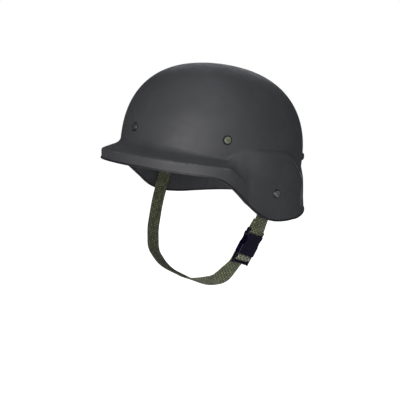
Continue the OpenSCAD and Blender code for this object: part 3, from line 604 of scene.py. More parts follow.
def profile_rows(w):
    """The profile's corner rows for each azimuth w, as (columns, rows, 2), from the rim up."""
    f = on_flap(w)[:, None]
    zc = crease_z(w)
    zf = fold_z(w)
    fall = np.minimum(FLAP_SLOPE, 0.6 * (zc - zf))
    ledge = zc - 0.22 * fall
    foot = zc - fall
    waist = (foot + zf) / 2
    crease = np.stack([dome_radius(w, zc), zc], 1)
    fold = np.stack([fold_radius(w), zf], 1)
    shoulder = np.stack([wall_radius(w, foot), foot], 1)
    brow = np.stack([dome_radius(w, ledge) + 0.5 * bulge(w, ledge), ledge], 1)
    half_way = np.stack([wall_radius(w, waist), waist], 1)
    rows = [
        np.stack([rim_radius(w), rim_z(w)], 1),
        fold,
        mix(mix(crease, fold, 0.92), half_way, f),
        mix(mix(crease, fold, 0.62), shoulder, f),
        mix(mix(crease, fold, 0.25), brow, f),
        crease,
    ]
    m = dome_power(w)
    start = np.degrees(np.arcsin((np.maximum(0, zc) / CROWN_H) ** (m / 2)))
    for k in range(1, DOME_RINGS):
        s = mix(start, 90, k / DOME_RINGS)
        rows.append(np.stack([plan_radius(w) * cos_deg(s) ** (2 / m), CROWN_H * sin_deg(s) ** (2 / m)], 1))
    return np.stack(rows, 1)


def shell_azimuths():
    half = np.unique(np.round(np.concatenate([
        np.arange(0, 180.01, 1.0),
        np.arange(FLAP_FRONT - 6, FLAP_FRONT + 14, 0.5),
        np.arange(FLAP_TOP - 2, FLAP_BACK + FLAP_FADE + 4, 0.6),
    ]), 2))
    return np.concatenate([half, (360 - half[1:-1])[::-1]])


AZIMUTHS = shell_azimuths()
FOLDED = np.where(AZIMUTHS > 180, 360 - AZIMUTHS, AZIMUTHS)
PROFILES = profile_rows(FOLDED)
OUTER_ROWS = polar(AZIMUTHS[:, None], PROFILES[:, :, 0], PROFILES[:, :, 1])


def skin_normals(rows):
    """Outward normals of the skin's corner rows; the rim's lie level."""
    around = np.roll(rows, -1, 0) - np.roll(rows, 1, 0)
    up = np.empty_like(rows)
    up[:, 1:-1] = rows[:, 2:] - rows[:, :-2]
    up[:, -1] = np.array([0, 0, CROWN_H]) - rows[:, -2]
    up[:, 0] = UP
    around[:, 0, 2] = 0
    return unit(np.cross(around, up))


RIM_SIDE_WAY = skin_normals(OUTER_ROWS)[:, 0]
INNER_ROWS = OUTER_ROWS - WALL * skin_normals(OUTER_ROWS)

# Fractions at which each stretch between two corner rows is sampled
STRETCHES = [
    (0, 0.05, 0.12, 0.25, 0.4, 0.55, 0.7, 0.82, 0.9, 0.95, 0.98),
    (0, 0.1, 0.25, 0.45, 0.7),
    (0, 0.15, 0.3, 0.5, 0.7, 0.85),
    (0, 0.15, 0.3, 0.5, 0.7, 0.85),
    (0, 0.2, 0.4, 0.6, 0.75, 0.9),
    (0, 0.25, 0.5, 0.75),
]
# How far each corner row is rounded, in millimetres, at the brow, on the visor's sides and on the flap
ROUND_BROW = (0.0, 2.0, 2.0, 2.4, 3.6, 4.2, 1.5)
ROUND_VISOR = (0.0, 0.8, 0.8, 0.9, 1.4, 1.6, 0.8)
ROUND_FLAP = (0.0, 1.4, 3.0, 2.8, 0.9, 0.3, 0.6)


def rounded_skin(rows, extra):
    """The skin through the corner rows, its corners rounded by a running mean along each column."""
    fractions = [(k, f) for k, stretch in enumerate(STRETCHES) for f in stretch]
    fractions += [(k, f) for k in range(len(STRETCHES), rows.shape[1] - 1) for f in (0, 0.5)]
    fractions.append((rows.shape[1] - 2, 1.0))
    k, f = np.array(fractions).T
    k = k.astype(int)
    flap = on_flap(FOLDED)
    window = 2.4
    offsets = np.linspace(-window, window, 13)
    weights = np.exp(-offsets ** 2 / 2)
    weights /= weights.sum()
    result = np.empty((rows.shape[0], len(k), 3))
    for c in range(rows.shape[0]):
        column = rows[c]
        length = lengths(column)
        s = length[k] + f * (length[k + 1] - length[k])
        side = ease((FOLDED[c] - 25) / 30)
        radius = [mix(mix(brow, visor, side), over_ear, flap[c]) + extra
                  for brow, visor, over_ear in zip(ROUND_BROW, ROUND_VISOR, ROUND_FLAP)]
        radius[0] = 0.0
        radius += [0.5] * (rows.shape[1] - len(radius))
        spread = np.minimum(np.interp(s, length, radius), s / window)
        at = s[:, None] + spread[:, None] * offsets
        for axis in range(3):
            result[c, :, axis] = np.interp(at, length, column[:, axis]) @ weights
    return result, k, f


def make_shell():
    outer, k, f = rounded_skin(OUTER_ROWS, 0.0)
    inner, _, _ = rounded_skin(INNER_ROWS, 0.6)
    n, m, _ = outer.shape
    poles = [[0, 0, CROWN_H], [0, 0, CROWN_H - WALL]]
    points = np.concatenate([outer.reshape(-1, 3), inner.reshape(-1, 3), poles])
    second = n * m
    outer_pole = 2 * n * m
    inner_pole = outer_pole + 1
    faces = []
    for i in range(n):
        a = i * m
        b = (i + 1) % n * m
        for r in range(m - 1):
            faces.append((a + r, b + r, b + r + 1, a + r + 1))
            faces.append((second + a + r, second + a + r + 1, second + b + r + 1, second + b + r))
        faces.append((a + m - 1, b + m - 1, outer_pole))
        faces.append((second + a + m - 1, inner_pole, second + b + m - 1))
        faces.append((a, second + a, second + b, b))
    obj = mesh_object("helmet_shell", points, faces, SHELL)
    facing_out(obj, 50.0)
    # Wear shows along the fold and the rim; off_ridge is the distance from the painted highlight line on
    # the flap's back ridge, which sits a little forward of the crest
    fold = outer[:, np.flatnonzero((k == 1) & (f == 0))[0]]
    near_fold = np.linalg.norm(outer - fold[:, None], axis=2)
    near_rim = np.linalg.norm(outer - outer[:, :1], axis=2)
    strong = (1 - ease((FOLDED - 58) / 20))[:, None]
    height = outer[:, :, 2]
    off_ridge = (FOLDED[:, None] - ridge_angle(height) + mix(0.6, 3.2, ease(-height / 40))) * 2.1
    ridge = ease((height + 55) / 6) * ease((9 - height) / 9) * (np.abs(off_ridge) < 12)
    fold_wear = np.exp(-(near_fold / 0.9) ** 2) * strong
    rim_wear = 0.6 * np.exp(-((near_rim - 1.4) / 1.2) ** 2)
    wear = np.maximum(fold_wear, rim_wear)
    # Stored per point: the wear, the strength of the painted ridge highlight and the distance from its
    # line.
    for name, worn in (("wear", wear), ("ridge", ridge), ("off_ridge", off_ridge)):
        values = np.concatenate([worn.ravel(), np.zeros(n * m + 2)])
        layer = obj.data.attributes.new(name, "FLOAT", "POINT")
        layer.data.foreach_set("value", values.astype(np.float32))
    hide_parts("shell")
    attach(obj, "helmet")
    return outer, inner


SHELL_OUT, SHELL_IN = make_shell()

# Rubber edging
TRIM_LIP = 1.3
TRIM_T = 0.7
TRIM_GAP = 0.25


def make_edging():
    # Half of the section: (out, up) shares of the lip's size, then (out, down) shares under the rim
    lip = [(0.2, 1.0), (0.5, 1.04), (0.85, 0.85), (1.0, 0.5), (1.0, 0.0)]
    foot = [(0.92, 0.45), (0.62, 0.82), (0.1, 1.0)]
    reach = TRIM_GAP + TRIM_T
    start = 0.1
    # The lips lean with both skins just above the rim
    up_skins = [skin[:, 4] - skin[:, 0] for skin in (SHELL_OUT, SHELL_IN)]
    up_skins = [up / up[:, 2:] for up in up_skins]
    rings = []
    for out, inn, side, up_out, up_in in zip(OUTER_ROWS[:, 0], INNER_ROWS[:, 0], RIM_SIDE_WAY, *up_skins):
        ring = [out + side * (TRIM_GAP + TRIM_T * a) + up_out * TRIM_LIP * b for a, b in lip]
        ring += [out + side * reach * a - UP * reach * b for a, b in foot]
        ring += [inn - side * reach * a - UP * reach * b for a, b in foot[::-1]]
        ring += [inn - side * (TRIM_GAP + TRIM_T * a) + up_in * TRIM_LIP * b for a, b in lip[::-1]]
        ring += [inn + (UP - side) * start, out + (UP + side) * start]
        rings.append(ring)
    obj = facing_out(lofted("rim_edging", rings, RUBBER, closed=True), 55.0)
    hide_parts("edge_trim")
    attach(obj, "helmet")


make_edging()


# Rigid pieces keep their own solids and get their finish
def finish_node(name, material, bevel=0.0):
    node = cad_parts[name]
    for slot in node.material_slots:
        slot.material = material
    if bevel:
        modifier = node.modifiers.new("edge", "BEVEL")
        modifier.width = bevel * MM
        modifier.limit_method = "ANGLE"
        modifier.angle_limit = math.radians(35)


for black_node in ("cup_washers", "rear_screws", "left_eyelet", "right_eyelet"):
    finish_node(black_node, BLACK_METAL)
finish_node("front_screw", DARK_METAL)
finish_node("ear_screws", GREY_METAL)
finish_node("side_screws", OLIVE_METAL)
for steel_node in ("liner_nuts", "ear_nuts", "hanger_plates", "band_rivets", "sweatband_clips"):
    finish_node(steel_node, STEEL)
for buckle_node in ("buckle_housing", "buckle_plug", "prong_front", "prong_rear"):
    finish_node(buckle_node, BUCKLE, 0.55)

# Headband, sweatband and size tab. The liner's screws are given as (azimuth, height)
FRONT_SCREW = (0.0, 26.0)
SIDE_SCREW = (56.0, 22.6)
REAR_SCREW = (145.0, 9.5)
HANGER_DROP = 19.0
HANGER_T = 1.5
BAND_H_WEB = 25.0
BAND_T_WEB = 1.5
FIT = 0.1
# Depths below the shell's outer skin
HANGER_Z = WALL + 1.5
BAND_FACE = HANGER_Z + HANGER_T + FIT
BEND_R = 58.0
SWEAT_H = 36.0
SWEAT_T = 2.4
LAP_GAP = 1.6
SWEAT_IN = BAND_T_WEB + LAP_GAP
SWEAT_TOP = BAND_H_WEB / 2 - 1.5


def dome_point(a, z):
    return polar(a, dome_radius(a, z), z)


def bend_centre(a, z):
    """Centre of the headband's bend behind the screw at azimuth a and height z."""
    d = 0.5
    level = dome_point(a + d, z) - dome_point(a - d, z)
    upward = dome_point(a, z + d) - dome_point(a, z - d)
    return dome_point(a, z)[:2] - (BEND_R + BAND_FACE) * unit(np.cross(level, upward)[:2])


HALF_BENDS = [bend_centre(*screw) for screw in (FRONT_SCREW, SIDE_SCREW, REAR_SCREW)]
BENDS = np.array(HALF_BENDS + [p * (-1, 1) for p in HALF_BENDS[:0:-1]])
FRONT_RIVET = (dome_point(*FRONT_SCREW)[1], FRONT_SCREW[1] - HANGER_DROP)
REAR_RIVET = (dome_point(*REAR_SCREW)[1], REAR_SCREW[1] - HANGER_DROP)


def band_z(y):
    return mix(FRONT_RIVET[1], REAR_RIVET[1], (y - FRONT_RIVET[0]) / (REAR_RIVET[0] - FRONT_RIVET[0]))


def level_way(h):
    """Level direction at h degrees from +X."""
    return np.array([cos_deg(h), sin_deg(h)])


def run_normal(i):
    d = BENDS[(i + 1) % 5] - BENDS[i % 5]
    return math.degrees(math.atan2(-d[0], d[1]))


def band_path(inset):
    """The headband's plan outline: a rounded pentagon with a bend at each hanger."""
    steps = 24
    points = []
    for i in range(5):
        a = run_normal(i + 4)
        turn = (run_normal(i) - a + 720) % 360
        for k in range(steps + 1):
            points.append(BENDS[i] + (BEND_R - inset) * level_way(a + turn * k / steps))
    points = np.array(points + points[:1])
    return resample(points, 1.5)[:-1]


def run_point(i, f, inset):
    """Place on straight run i, at share f of its length."""
    return mix(BENDS[i % 5], BENDS[(i + 1) % 5], f) + (BEND_R - inset) * level_way(run_normal(i))


def ways_round(path):
    """Level directions along a closed path and out of it, for each of its points."""
    along = unit(np.roll(path, -1, 0) - np.roll(path, 1, 0))
    level = np.zeros((len(path), 1))
    return np.hstack([along, level]), np.hstack([along[:, 1:], -along[:, :1], level])


def upright_band(name, depth, thick, low, high, material, round_edge, wave=0.0):
    """A strip on the headband's path with rounded edges; wave lets a soft band belly a little."""
    path = band_path(depth + thick / 2)
    _, out = ways_round(path)
    side = np.linspace(0, 1, 15)
    rounding = [max(0, (abs(2 * t - 1) - 1 + round_edge) / round_edge) ** 2 for t in side]
    section = [(0.5 * (1 - 0.75 * less), t) for t, less in zip(side, rounding)]
    section += [(-d, t) for d, t in section[::-1]]
    mid = band_z(path[:, 1])
    rings = []
    for i in range(len(path)):
        belly = wave * (0.6 + 0.4 * math.sin(i * 0.11) * math.sin(i * 0.047 + 1))
        ring = []
        for d, t in section:
            plan = path[i] + out[i, :2] * (d * thick - belly * math.sin(math.pi * t))
            ring.append([plan[0], plan[1], mid[i] + mix(low, high, t)])
        rings.append(ring)
    half = mix(low, high, side)
    u = np.concatenate([half, half[::-1], half[:1]])
    obj = lofted(name, rings, material, u=u, closed=True)
    return facing_out(obj, 70.0)


web_band = upright_band("headband_webbing", 0.0, BAND_T_WEB, -BAND_H_WEB / 2, BAND_H_WEB / 2,
                        LINER_WEBBING, 0.06)
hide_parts("web_band")
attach(web_band, "helmet")

sweat_band = upright_band("leather_sweatband", SWEAT_IN, SWEAT_T, SWEAT_TOP - SWEAT_H, SWEAT_TOP,
                          LEATHER, 0.1, 0.5)
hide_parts("sweatband")
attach(sweat_band, "helmet")


def stitches(name, places, ways, normals, length, thick):
    """A row of short thread stitches, one rounded bar for each place."""
    rings = 5
    sides = 6
    t = np.linspace(-1, 1, rings)[:, None, None]
    a = 2 * np.pi * np.arange(sides)[:, None] / sides
    r = thick / 2 * (1 - 0.75 * t * t)
    points = []
    faces = []
    for p, way, normal in zip(np.asarray(places, float), unit(ways), unit(normals)):
        side = np.cross(normal, way)
        base = len(points)
        bar = p + way * t * length / 2 + r * (side * np.cos(a) + normal * np.sin(a))
        points += list(bar.reshape(-1, 3))
        for i in range(rings - 1):
            for j in range(sides):
                q = (j + 1) % sides
                faces.append((base + i * sides + j, base + i * sides + q,
                              base + (i + 1) * sides + q, base + (i + 1) * sides + j))
        faces.append(tuple(base + j for j in range(sides - 1, -1, -1)))
        faces.append(tuple(base + (rings - 1) * sides + j for j in range(sides)))
    return facing_out(mesh_object(name, points, faces, THREAD))


def band_stitching():
    """Two seams round the sweatband, on its inner face."""
    path = band_path(SWEAT_IN + SWEAT_T)
    path = resample(np.concatenate([path, path[:1]]), 3.2)[:-1]
    along, out = ways_round(path)
    from_edge = 3.2
    sunk = 0.3 * math.sin(math.pi * from_edge / SWEAT_H)
    places = [[p[0], p[1], band_z(p[1]) + height] - n * sunk
              for height in (SWEAT_TOP - from_edge, SWEAT_TOP - SWEAT_H + from_edge)
              for p, n in zip(path, out)]
    ways = np.concatenate([along, along])
    obj = stitches("sweatband_seams", places, ways, np.concatenate([out, out]), 2.3, 0.55)
    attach(obj, "helmet")


band_stitching()


def size_tab():
    """Soft tab of hook and loop tape with rounded corners and a stitched border."""
    w = 44.0
    h = 24.0
    corner = 3.0
    centre = run_point(2, 0.5, SWEAT_IN + SWEAT_T + 0.3)
    outline = []
    for right, up, start in ((1, 1, 0), (-1, 1, 90), (-1, -1, 180), (1, -1, 270)):
        for a in range(start, start + 91, 15):
            outline.append((right * (w / 2 - corner), up * (h / 2 - corner)) + corner * level_way(a))
    outline = np.array(outline)
    z = band_z(centre[1]) + SWEAT_TOP - SWEAT_H / 2
    rings = []
    for depth, scale in ((0.0, 0.985), (0.25, 1.0), (1.1, 1.0), (1.35, 0.985), (1.45, 0.93), (1.5, 0.5)):
        rings.append([[x * scale, centre[1] - depth, z + q * scale] for x, q in outline])
    obj = facing_out(lofted("size_tab_tape", rings, HOOK))
    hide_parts("size_tab")
    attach(obj, "helmet")
    border = resample(np.concatenate([outline, outline[:1]]) * 0.88, 2.6)[:-1]
    places = [[x, centre[1] - 1.5, z + q] for x, q in border]
    ways = [[d[0], 0, d[1]] for d in np.roll(border, -1, 0) - np.roll(border, 1, 0)]
    seam = stitches("size_tab_seam", places, ways, [[0, -1, 0]] * len(places), 1.9, 0.45)
    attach(seam, "helmet")


size_tab()

# Cradle straps and draw cord
CRADLE_W = 18.0
CRADLE_T = 1.0
CRADLE_END_W = 11.0
CRADLE_POW = 2.2
CRADLE_TUCK = 22.0
LOOP_R = 32.0
LOOP_Z = CROWN_H - 26.0
CORD_D = 3.2
SLACK = 0.3
CROWN_CENTRE = np.array([0.0, 2.0])
CRADLE_IN = BAND_T_WEB + LAP_GAP / 2
WRAP_R = CORD_D / 2 + CRADLE_END_W ** 2 / (8 * LOOP_R) + SLACK + CRADLE_T / 2
CRADLE_PLACES = [(0, 0.5), (1, 0.2), (1, 0.86), (3, 0.14), (3, 0.8), (4, 0.5)]


def cradle_strap(number, i, f):
    """Rises from the headband, wraps the draw cord and is sewn back on itself."""
    p = run_point(i, f, CRADLE_IN)
    d = np.linalg.norm(p - CROWN_CENTRE)
    u = (p - CROWN_CENTRE) / d
    z0 = band_z(p[1]) + BAND_H_WEB / 2
    end = math.degrees(math.acos((LOOP_R / d) ** (CRADLE_POW / 2)))
    rise = (LOOP_Z + WRAP_R - z0) / sin_deg(end) ** (2 / CRADLE_POW)

    def arch_point(s):
        return np.array([d * cos_deg(s) ** (2 / CRADLE_POW), z0 + rise * sin_deg(s) ** (2 / CRADLE_POW)])

    arch = arch_point(end * np.linspace(0, 1, 41)).T
    turn = np.linspace(100.8, 270, 16)
    wrap = np.stack([LOOP_R + WRAP_R * cos_deg(turn), LOOP_Z + WRAP_R * sin_deg(turn)], 1)
    lap = arch_point(end * 8 / 9) - [0, CRADLE_T + SLACK]
    back = [mix(wrap[-1], lap, t) + [0, 0.6 * sin_deg(180 * t)] for t in np.linspace(0.1, 1, 9)]
    path = np.concatenate([[[d, z0 - CRADLE_TUCK], [d, z0 - CRADLE_TUCK / 2]], arch, wrap, back])

    def in_space(plane):
        """Points given by their distance from the crown's centre and their height."""
        plane = np.asarray(plane)
        return np.concatenate([CROWN_CENTRE + u * plane[..., :1], plane[..., 1:]], -1)

    points = in_space(path)
    start = np.append(level_way(run_normal(i) + 90), 0)
    finish = np.array([-u[1], u[0], 0])
    step = np.concatenate([[0, 0.5], np.linspace(1, 10, 41), np.full(len(path) - 43, 10.0)])
    across = unit(mix(start, finish, ease((step - 1) / 6)[:, None]))
    width = CRADLE_W * mix(1, CRADLE_END_W / CRADLE_W, ease((step - 6) / 4))
    obj = strap("cradle_strap_%d" % number, points, across, width, CRADLE_T, LINER_WEBBING, 1.4)
    # Bar tack through both layers, beside the cord
    base = in_space(mix(wrap[-1], lap, 0.62)) - UP * 0.2
    slope = unit(in_space(lap) - in_space(wrap[-1]))
    under = unit(np.cross(finish, slope))
    under = under if under[2] < 0 else -under
    places = []
    ways = []
    for row in (-1.6, 0.0, 1.6):
        for k in range(9):
            places.append(base + slope * row + finish * (k - 4) * 1.05 + under * 0.25)
            ways.append(slope * 0.5 + finish * (1 if k % 2 else -1))
    tack = stitches("cradle_tack_%d" % number, places, ways, [under] * len(places), 1.5, 0.4)
    return obj, tack


cradles, tacks = zip(*[cradle_strap(number, *place) for number, place in enumerate(CRADLE_PLACES, 1)])
cradle = joined("cradle_webbing", cradles)
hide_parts("cradle_straps")
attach(cradle, "helmet")
tack = joined("cradle_tacks", tacks)
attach(tack, "helmet")


def tube(name, path, radius, material, sides=14, closed=False):
    """A round cord along a path, with frames carried along it."""
    steps = np.roll(path, -1, 0) - np.roll(path, 1, 0) if closed else np.gradient(path, axis=0)
    tangent = unit(steps)
    normal = unit(np.cross(tangent[0], UP + 0.01))
    a = 2 * np.pi * np.arange(sides)[:, None] / sides
    rings = []
    for p, t in zip(path, tangent):
        normal = unit(normal - t * np.dot(normal, t))
        rings.append(p + radius * (np.cos(a) * normal + np.sin(a) * np.cross(t, normal)))
    u = 2 * np.pi * radius * np.arange(sides + 1) / sides
    return facing_out(lofted(name, rings, material, u=u, closed=closed))


def draw_cord():
    centre = np.append(CROWN_CENTRE, LOOP_Z)
    a = np.linspace(0, 2 * np.pi, 241)[:-1]
    ring = centre + LOOP_R * np.stack([np.sin(a), np.cos(a), 0 * a], 1)
    parts = [tube("draw_cord", ring, CORD_D / 2, CORD, closed=True)]
    knot = centre + [0, LOOP_R, 0]
    t = np.linspace(0, 2 * np.pi, 121)[:-1]
    trefoil = np.stack([np.sin(t) + 2 * np.sin(2 * t), -np.sin(3 * t), np.cos(t) - 2 * np.cos(2 * t)], 1)
    parts.append(tube("draw_knot", knot + trefoil * 0.78, 1.15, CORD, 10, True))
    t = np.linspace(0, 19, 40)[:, None]
    for side in (-1, 1):
        tail = knot + np.array([side * 0.55, 0.8, -0.25]) * t - 0.01 * UP * t ** 2
        parts.append(tube("draw_tail", tail, CORD_D / 2 * 0.98, CORD))
    obj = joined("draw_cord", parts)
    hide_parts("crown_cord")
    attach(obj, "helmet")


draw_cord()

# Foam crown pad
PAD_R = 42.0
PAD_T = 8.0
PAD_GAP = 0.7


def pad_point(a, r, drop):
    top = dome_height(a, r) - WALL * 1.03 - PAD_GAP - drop
    return polar(a, r, top)


def inflate(obj, voxel, pressure, most):
    """Swells a closed mesh by a short cloth run, each point moving no more than most."""
    remesh = obj.modifiers.new("remesh", "REMESH")
    remesh.mode = "VOXEL"
    remesh.voxel_size = voxel
    graph = bpy.context.evaluated_depsgraph_get()
    mesh = bpy.data.meshes.new_from_object(obj.evaluated_get(graph))
    obj.modifiers.clear()
    obj.data = mesh
    rest = points_of(obj)
    frames = 20
    cloth = obj.modifiers.new("cloth", "CLOTH")
    cloth.point_cache.frame_start = 1
    cloth.point_cache.frame_end = frames
    settings = cloth.settings
    settings.use_pressure = True
    settings.uniform_pressure_force = pressure
    settings.effector_weights.gravity = 0.0
    settings.quality = 5
    settings.tension_stiffness = 12
    settings.compression_stiffness = 12
    scene = bpy.context.scene
    for number in range(frames):
        scene.frame_set(number + 1)
    move = points_of(obj.evaluated_get(bpy.context.evaluated_depsgraph_get())) - rest
    obj.modifiers.clear()
    scene.frame_set(1)
    size = np.linalg.norm(move, axis=1, keepdims=True)
    move_points(obj, rest + move * np.minimum(1, most / np.maximum(size, 1e-9)))


def crown_pad():
    """A soft disc under the crown, with a drawn-in edge and a sewn ring."""
    sides = 96
    a = 360 * np.arange(sides) / sides
    rows = [(0.2, 0.12), (0.5, 0.08), (0.8, 0.06), (0.93, 0.16), (0.985, 0.42),
            (0.93, 0.72), (0.8, 0.84), (0.5, 0.9), (0.2, 0.9)]
    rings = [pad_point(a, np.full(sides, PAD_R * r), PAD_T * d) for r, d in rows]
    obj = facing_out(lofted("crown_pad_cover", rings, PAD))
    inflate(obj, 2.2 * MM, 3.0, 0.9 * MM)
    obj.data.materials.clear()
    obj.data.materials.append(PAD)
    obj.data.polygons.foreach_set("use_smooth", [True] * len(obj.data.polygons))
    smooth = obj.modifiers.new("subdivide", "SUBSURF")
    smooth.levels = 1
    smooth.render_levels = 1
    # Sewn ring, pressed into the lower face
    points = points_of(obj) / MM
    r = np.hypot(points[:, 0], points[:, 1])
    under = points[:, 2] < dome_height(0, 20) - WALL - PAD_GAP - PAD_T * 0.5 - 0.02 * r
    seam_r = 0.74 * PAD_R
    points[:, 2] += 1.3 * np.exp(-((r - seam_r) / 1.6) ** 2) * under
    move_points(obj, points * MM)
    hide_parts("crown_pad")
    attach(obj, "helmet")


crown_pad()

# Chin strap: the loop lies in a leaning plane through both ear screws
EAR_Y = 6.4
EAR_Z = -34.3
STRAP_LEAN = 17.5
STRAP_W = 22.0
STRAP_T = 1.6
EAR_ANGLE = 90 + math.degrees(math.atan(EAR_Y / HALF_W))
# The webbing's middle lies 3 mm inside the shell's inner skin
EAR_X = wall_radius(EAR_ANGLE, EAR_Z) * cos_deg(EAR_ANGLE - 90) - WALL - 3
EYELET_R = 6.5
STRAP_TOP = EYELET_R + 4.5
STRAP_BEND = np.array([EAR_X, -EYELET_R - 2.5])
STRAP_PASS = np.array([EAR_X - 2, RIM_SIDE - EAR_Z + 2.7])
STRAP_BEND_RADII = (STRAP_W * 2.7, STRAP_W * 3.6)
BAR_X = STRAP_PASS[0] - 2.7
BAR_Z = STRAP_PASS[1] - 19
BUCKLE_LEAN = 11.0
BUCKLE_T = 8.6
BUCKLE_LEN = 43.4
BAR_R = 1.8
END_BAR_R = 2.1
MID_BAR_R = 1.9
HOUSING_LEN = 24.0
SHOULDER_LEN = 6.0
MID_BAR_Z = HOUSING_LEN + SLACK + SHOULDER_LEN + 0.7 + STRAP_T + MID_BAR_R
CHIN_W = 146.0
LOOP_DEPTH = 136.0
CHIN_CORNER = 16.0
STRAP_TWIST = 16.0


def from_buckle(x, z):
    """A point of the buckle's own frame, in the strap's plane."""
    c = cos_deg(BUCKLE_LEAN)
    s = sin_deg(BUCKLE_LEAN)
    return np.array([BAR_X + x * c + z * s, BAR_Z - x * s + z * c])


def strap_place(plane, y=0.0):
    """Points of the leaning strap's plane, y off it, in the object's frame."""
    x, z = np.asarray(plane, float).T
    c = cos_deg(STRAP_LEAN)
    s = sin_deg(STRAP_LEAN)
    return np.stack([x, EAR_Y + y * c + z * s, EAR_Z - y * s + z * c], 1)


STRAP_ACROSS = np.array([0, cos_deg(STRAP_LEAN), -sin_deg(STRAP_LEAN)])


def rounded_path(points, radii):
    """A path with each inner corner rounded to its radius."""
    steps = 16
    out = [points[0]]
    for a, b, c, r in zip(points, points[1:], points[2:], radii):
        u = unit(a - b)
        v = unit(c - b)
        half = math.acos(float(np.dot(u, v))) / 2
        d = r / math.tan(half)
        o = b + unit(u + v) * r / math.sin(half)
        for i in range(steps + 1):
            out.append(o + unit(mix(b + u * d, b + v * d, i / steps) - o) * r)
    return np.array(out + [points[-1]])


def wrap_radius(r):
    return r + 0.25 + STRAP_T / 2


def flat_strap(name, plane, twist=0.0, material=WEBBING):
    """Webbing in the strap's plane, turned about its own line by twist degrees."""
    path = strap_place(plane)
    out = np.cross(unit(np.gradient(path, axis=0)), STRAP_ACROSS)
    turn = np.broadcast_to(twist, (len(path),))[:, None]
    across = cos_deg(turn) * STRAP_ACROSS + sin_deg(turn) * out
    return strap(name, path, across, STRAP_W, STRAP_T, material, 1.2)


def left_strap():
    w = wrap_radius(BAR_R)
    end = from_buckle(w, 0)
    top = np.array([EAR_X, STRAP_TOP])
    down = rounded_path([top, STRAP_BEND, STRAP_PASS, end], STRAP_BEND_RADII)
    turn = np.arange(8, 181, 8)
    around = np.array([from_buckle(w * cos_deg(t), -w * sin_deg(t)) for t in turn])
    lap_end = mix(STRAP_PASS, end, 0.25) - [STRAP_T + 0.5, 0]
    rise = from_buckle(-w, 3 * BAR_R)
    tail = np.array([mix(rise, lap_end, t) for t in np.linspace(0, 1, 12)])
    obj = flat_strap("left_strap_webbing", np.concatenate([down, around, tail]))
    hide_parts("left_strap")
    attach(obj, "left_strap")
    # Two seams across the strap hold its lap
    fall = unit(end - STRAP_PASS)
    face = np.array([-fall[1], fall[0]])
    normal = strap_place([face])[0] - strap_place([[0, 0]])[0]
    places = [strap_place([mix(STRAP_PASS, end, f) + face * (STRAP_T / 2 + 0.05)], y)[0]
              for f in (0.4, 0.62) for y in np.linspace(-8.4, 8.4, 8)]
    count = len(places)
    seams = stitches("left_strap_seams", places, [STRAP_ACROSS] * count, [normal] * count, 2.0, 0.6)
    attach(seams, "left_strap")


def ladder_webbing():
    """Laced over the middle bar, and down behind the end bar."""
    w = wrap_radius(MID_BAR_R)
    turn = np.linspace(125, -55, 25)
    plane = [from_buckle(w * cos_deg(t), -MID_BAR_Z + w * sin_deg(t)) for t in turn]
    behind = from_buckle(-END_BAR_R - STRAP_T / 2 - SLACK / 2, -BUCKLE_LEN + END_BAR_R)
    plane += [mix(plane[-1], behind, t) for t in np.linspace(0.1, 1, 10)]
    obj = flat_strap("ladder_webbing", plane, material=LIGHTER_WEBBING)
    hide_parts("plug_webbing")
    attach(obj, "plug")


def chin_strap():
    back = -BUCKLE_T / 2 - STRAP_T / 2 - SLACK
    chin = [np.array([CHIN_W / 2, -LOOP_DEPTH + CHIN_CORNER]), np.array([CHIN_W / 4, -LOOP_DEPTH])]
    left = [from_buckle(back, 3 - MID_BAR_Z), from_buckle(back, -BUCKLE_LEN)] + chin
    far = [np.array([EAR_X, STRAP_TOP]), STRAP_BEND, STRAP_PASS]
    far += [from_buckle(0, -2), from_buckle(back + 1, -BUCKLE_LEN)] + chin
    right = [p * [-1, 1] for p in far[::-1]]
    radii = [STRAP_W * k for k in (1.1, 1.5, 4.6, 4.6, 1.5, 2.7, 9)]
    radii += [STRAP_BEND_RADII[1], STRAP_BEND_RADII[0]]
    path = rounded_path(left + right, radii)
    # Below the buckle the webbing turns its face a little forward
    run = lengths(path)
    twist = STRAP_TWIST * ease((run - 16) / 22) * (1 - ease((run - 60) / 50))
    obj = flat_strap("chin_strap_webbing", path, twist)
    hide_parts("chin_strap")
    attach(obj, "chin_strap")


left_strap()
ladder_webbing()
chin_strap()

# Studio: a white room, a pale floor in millimetres and four soft lamps in metres
FLOOR_Z = -255.0
FLOOR_HALF = 4000.0
LAMP_SIZE = 0.9
# Point that the lamps face
LIT = Vector((0.0, -0.02, 0.03))


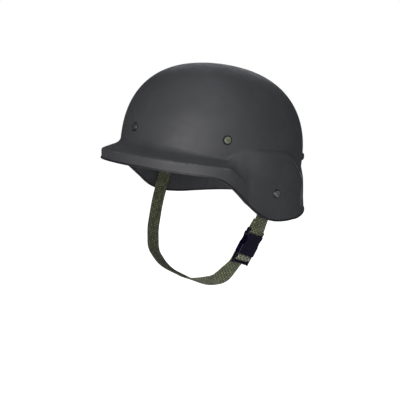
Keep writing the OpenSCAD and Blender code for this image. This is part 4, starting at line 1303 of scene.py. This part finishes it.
def studio():
    n = Surface("floor_white", (0.9, 0.9, 0.9), 0.9)
    n.paint("Specular IOR Level", 0.1)
    n.paint("Base Color", n.blend(n.noise(n.place(), 3.0), (0.89, 0.89, 0.89), (0.92, 0.92, 0.92)))
    # What the camera sees of the floor is lifted to white, which leaves a faint shadow
    n.paint("Emission Color", (0.94, 0.94, 0.94, 1.0))
    n.paint("Emission Strength", n.add("ShaderNodeLightPath")["Is Camera Ray"])
    corners = [(x * FLOOR_HALF, y * FLOOR_HALF, FLOOR_Z) for x, y in ((-1, -1), (1, -1), (1, 1), (-1, 1))]
    floor = mesh_object("floor", corners, [(0, 1, 2, 3)], n.material)

    world = bpy.data.worlds.new("studio")
    world.use_nodes = True
    bpy.context.scene.world = world
    tree = world.node_tree
    background = tree.nodes["Background"]
    seen = tree.nodes.new("ShaderNodeBackground")
    white = (1.0, 1.0, 1.0, 1.0)
    for node, colour, strength in ((background, (0.96, 1.0, 0.97, 1.0), 0.1), (seen, white, 1.0)):
        node.inputs["Color"].default_value = colour
        node.inputs["Strength"].default_value = strength
    rays = tree.nodes.new("ShaderNodeLightPath")
    choose = tree.nodes.new("ShaderNodeMixShader")
    sources = (rays.outputs["Is Camera Ray"], background.outputs[0], seen.outputs[0])
    for source, socket in zip(sources, choose.inputs):
        tree.links.new(source, socket)
    tree.links.new(choose.outputs[0], tree.nodes["World Output"].inputs[0])


def soft_light(name, place, watts, colour):
    light = bpy.data.lights.new(name, "AREA")
    light.shape = "DISK"
    light.size = LAMP_SIZE
    light.energy = watts
    light.color = colour
    obj = placed(name, light)
    obj.location = place
    obj.rotation_mode = "QUATERNION"
    obj.rotation_quaternion = (LIT - Vector(place)).to_track_quat("-Z", "Y")


studio()
soft_light("key", (0.69, -0.98, 0.13), 10.8, (0.98, 0.965, 1.0))
soft_light("side", (0.92, -0.34, 0.72), 2.7, (0.96, 0.98, 1.0))
soft_light("top", (0.13, -0.16, 1.21), 1.7, (0.9, 0.92, 1.0))
soft_light("back", (-0.74, 0.65, 0.72), 2.4, (0.9, 0.92, 1.0))
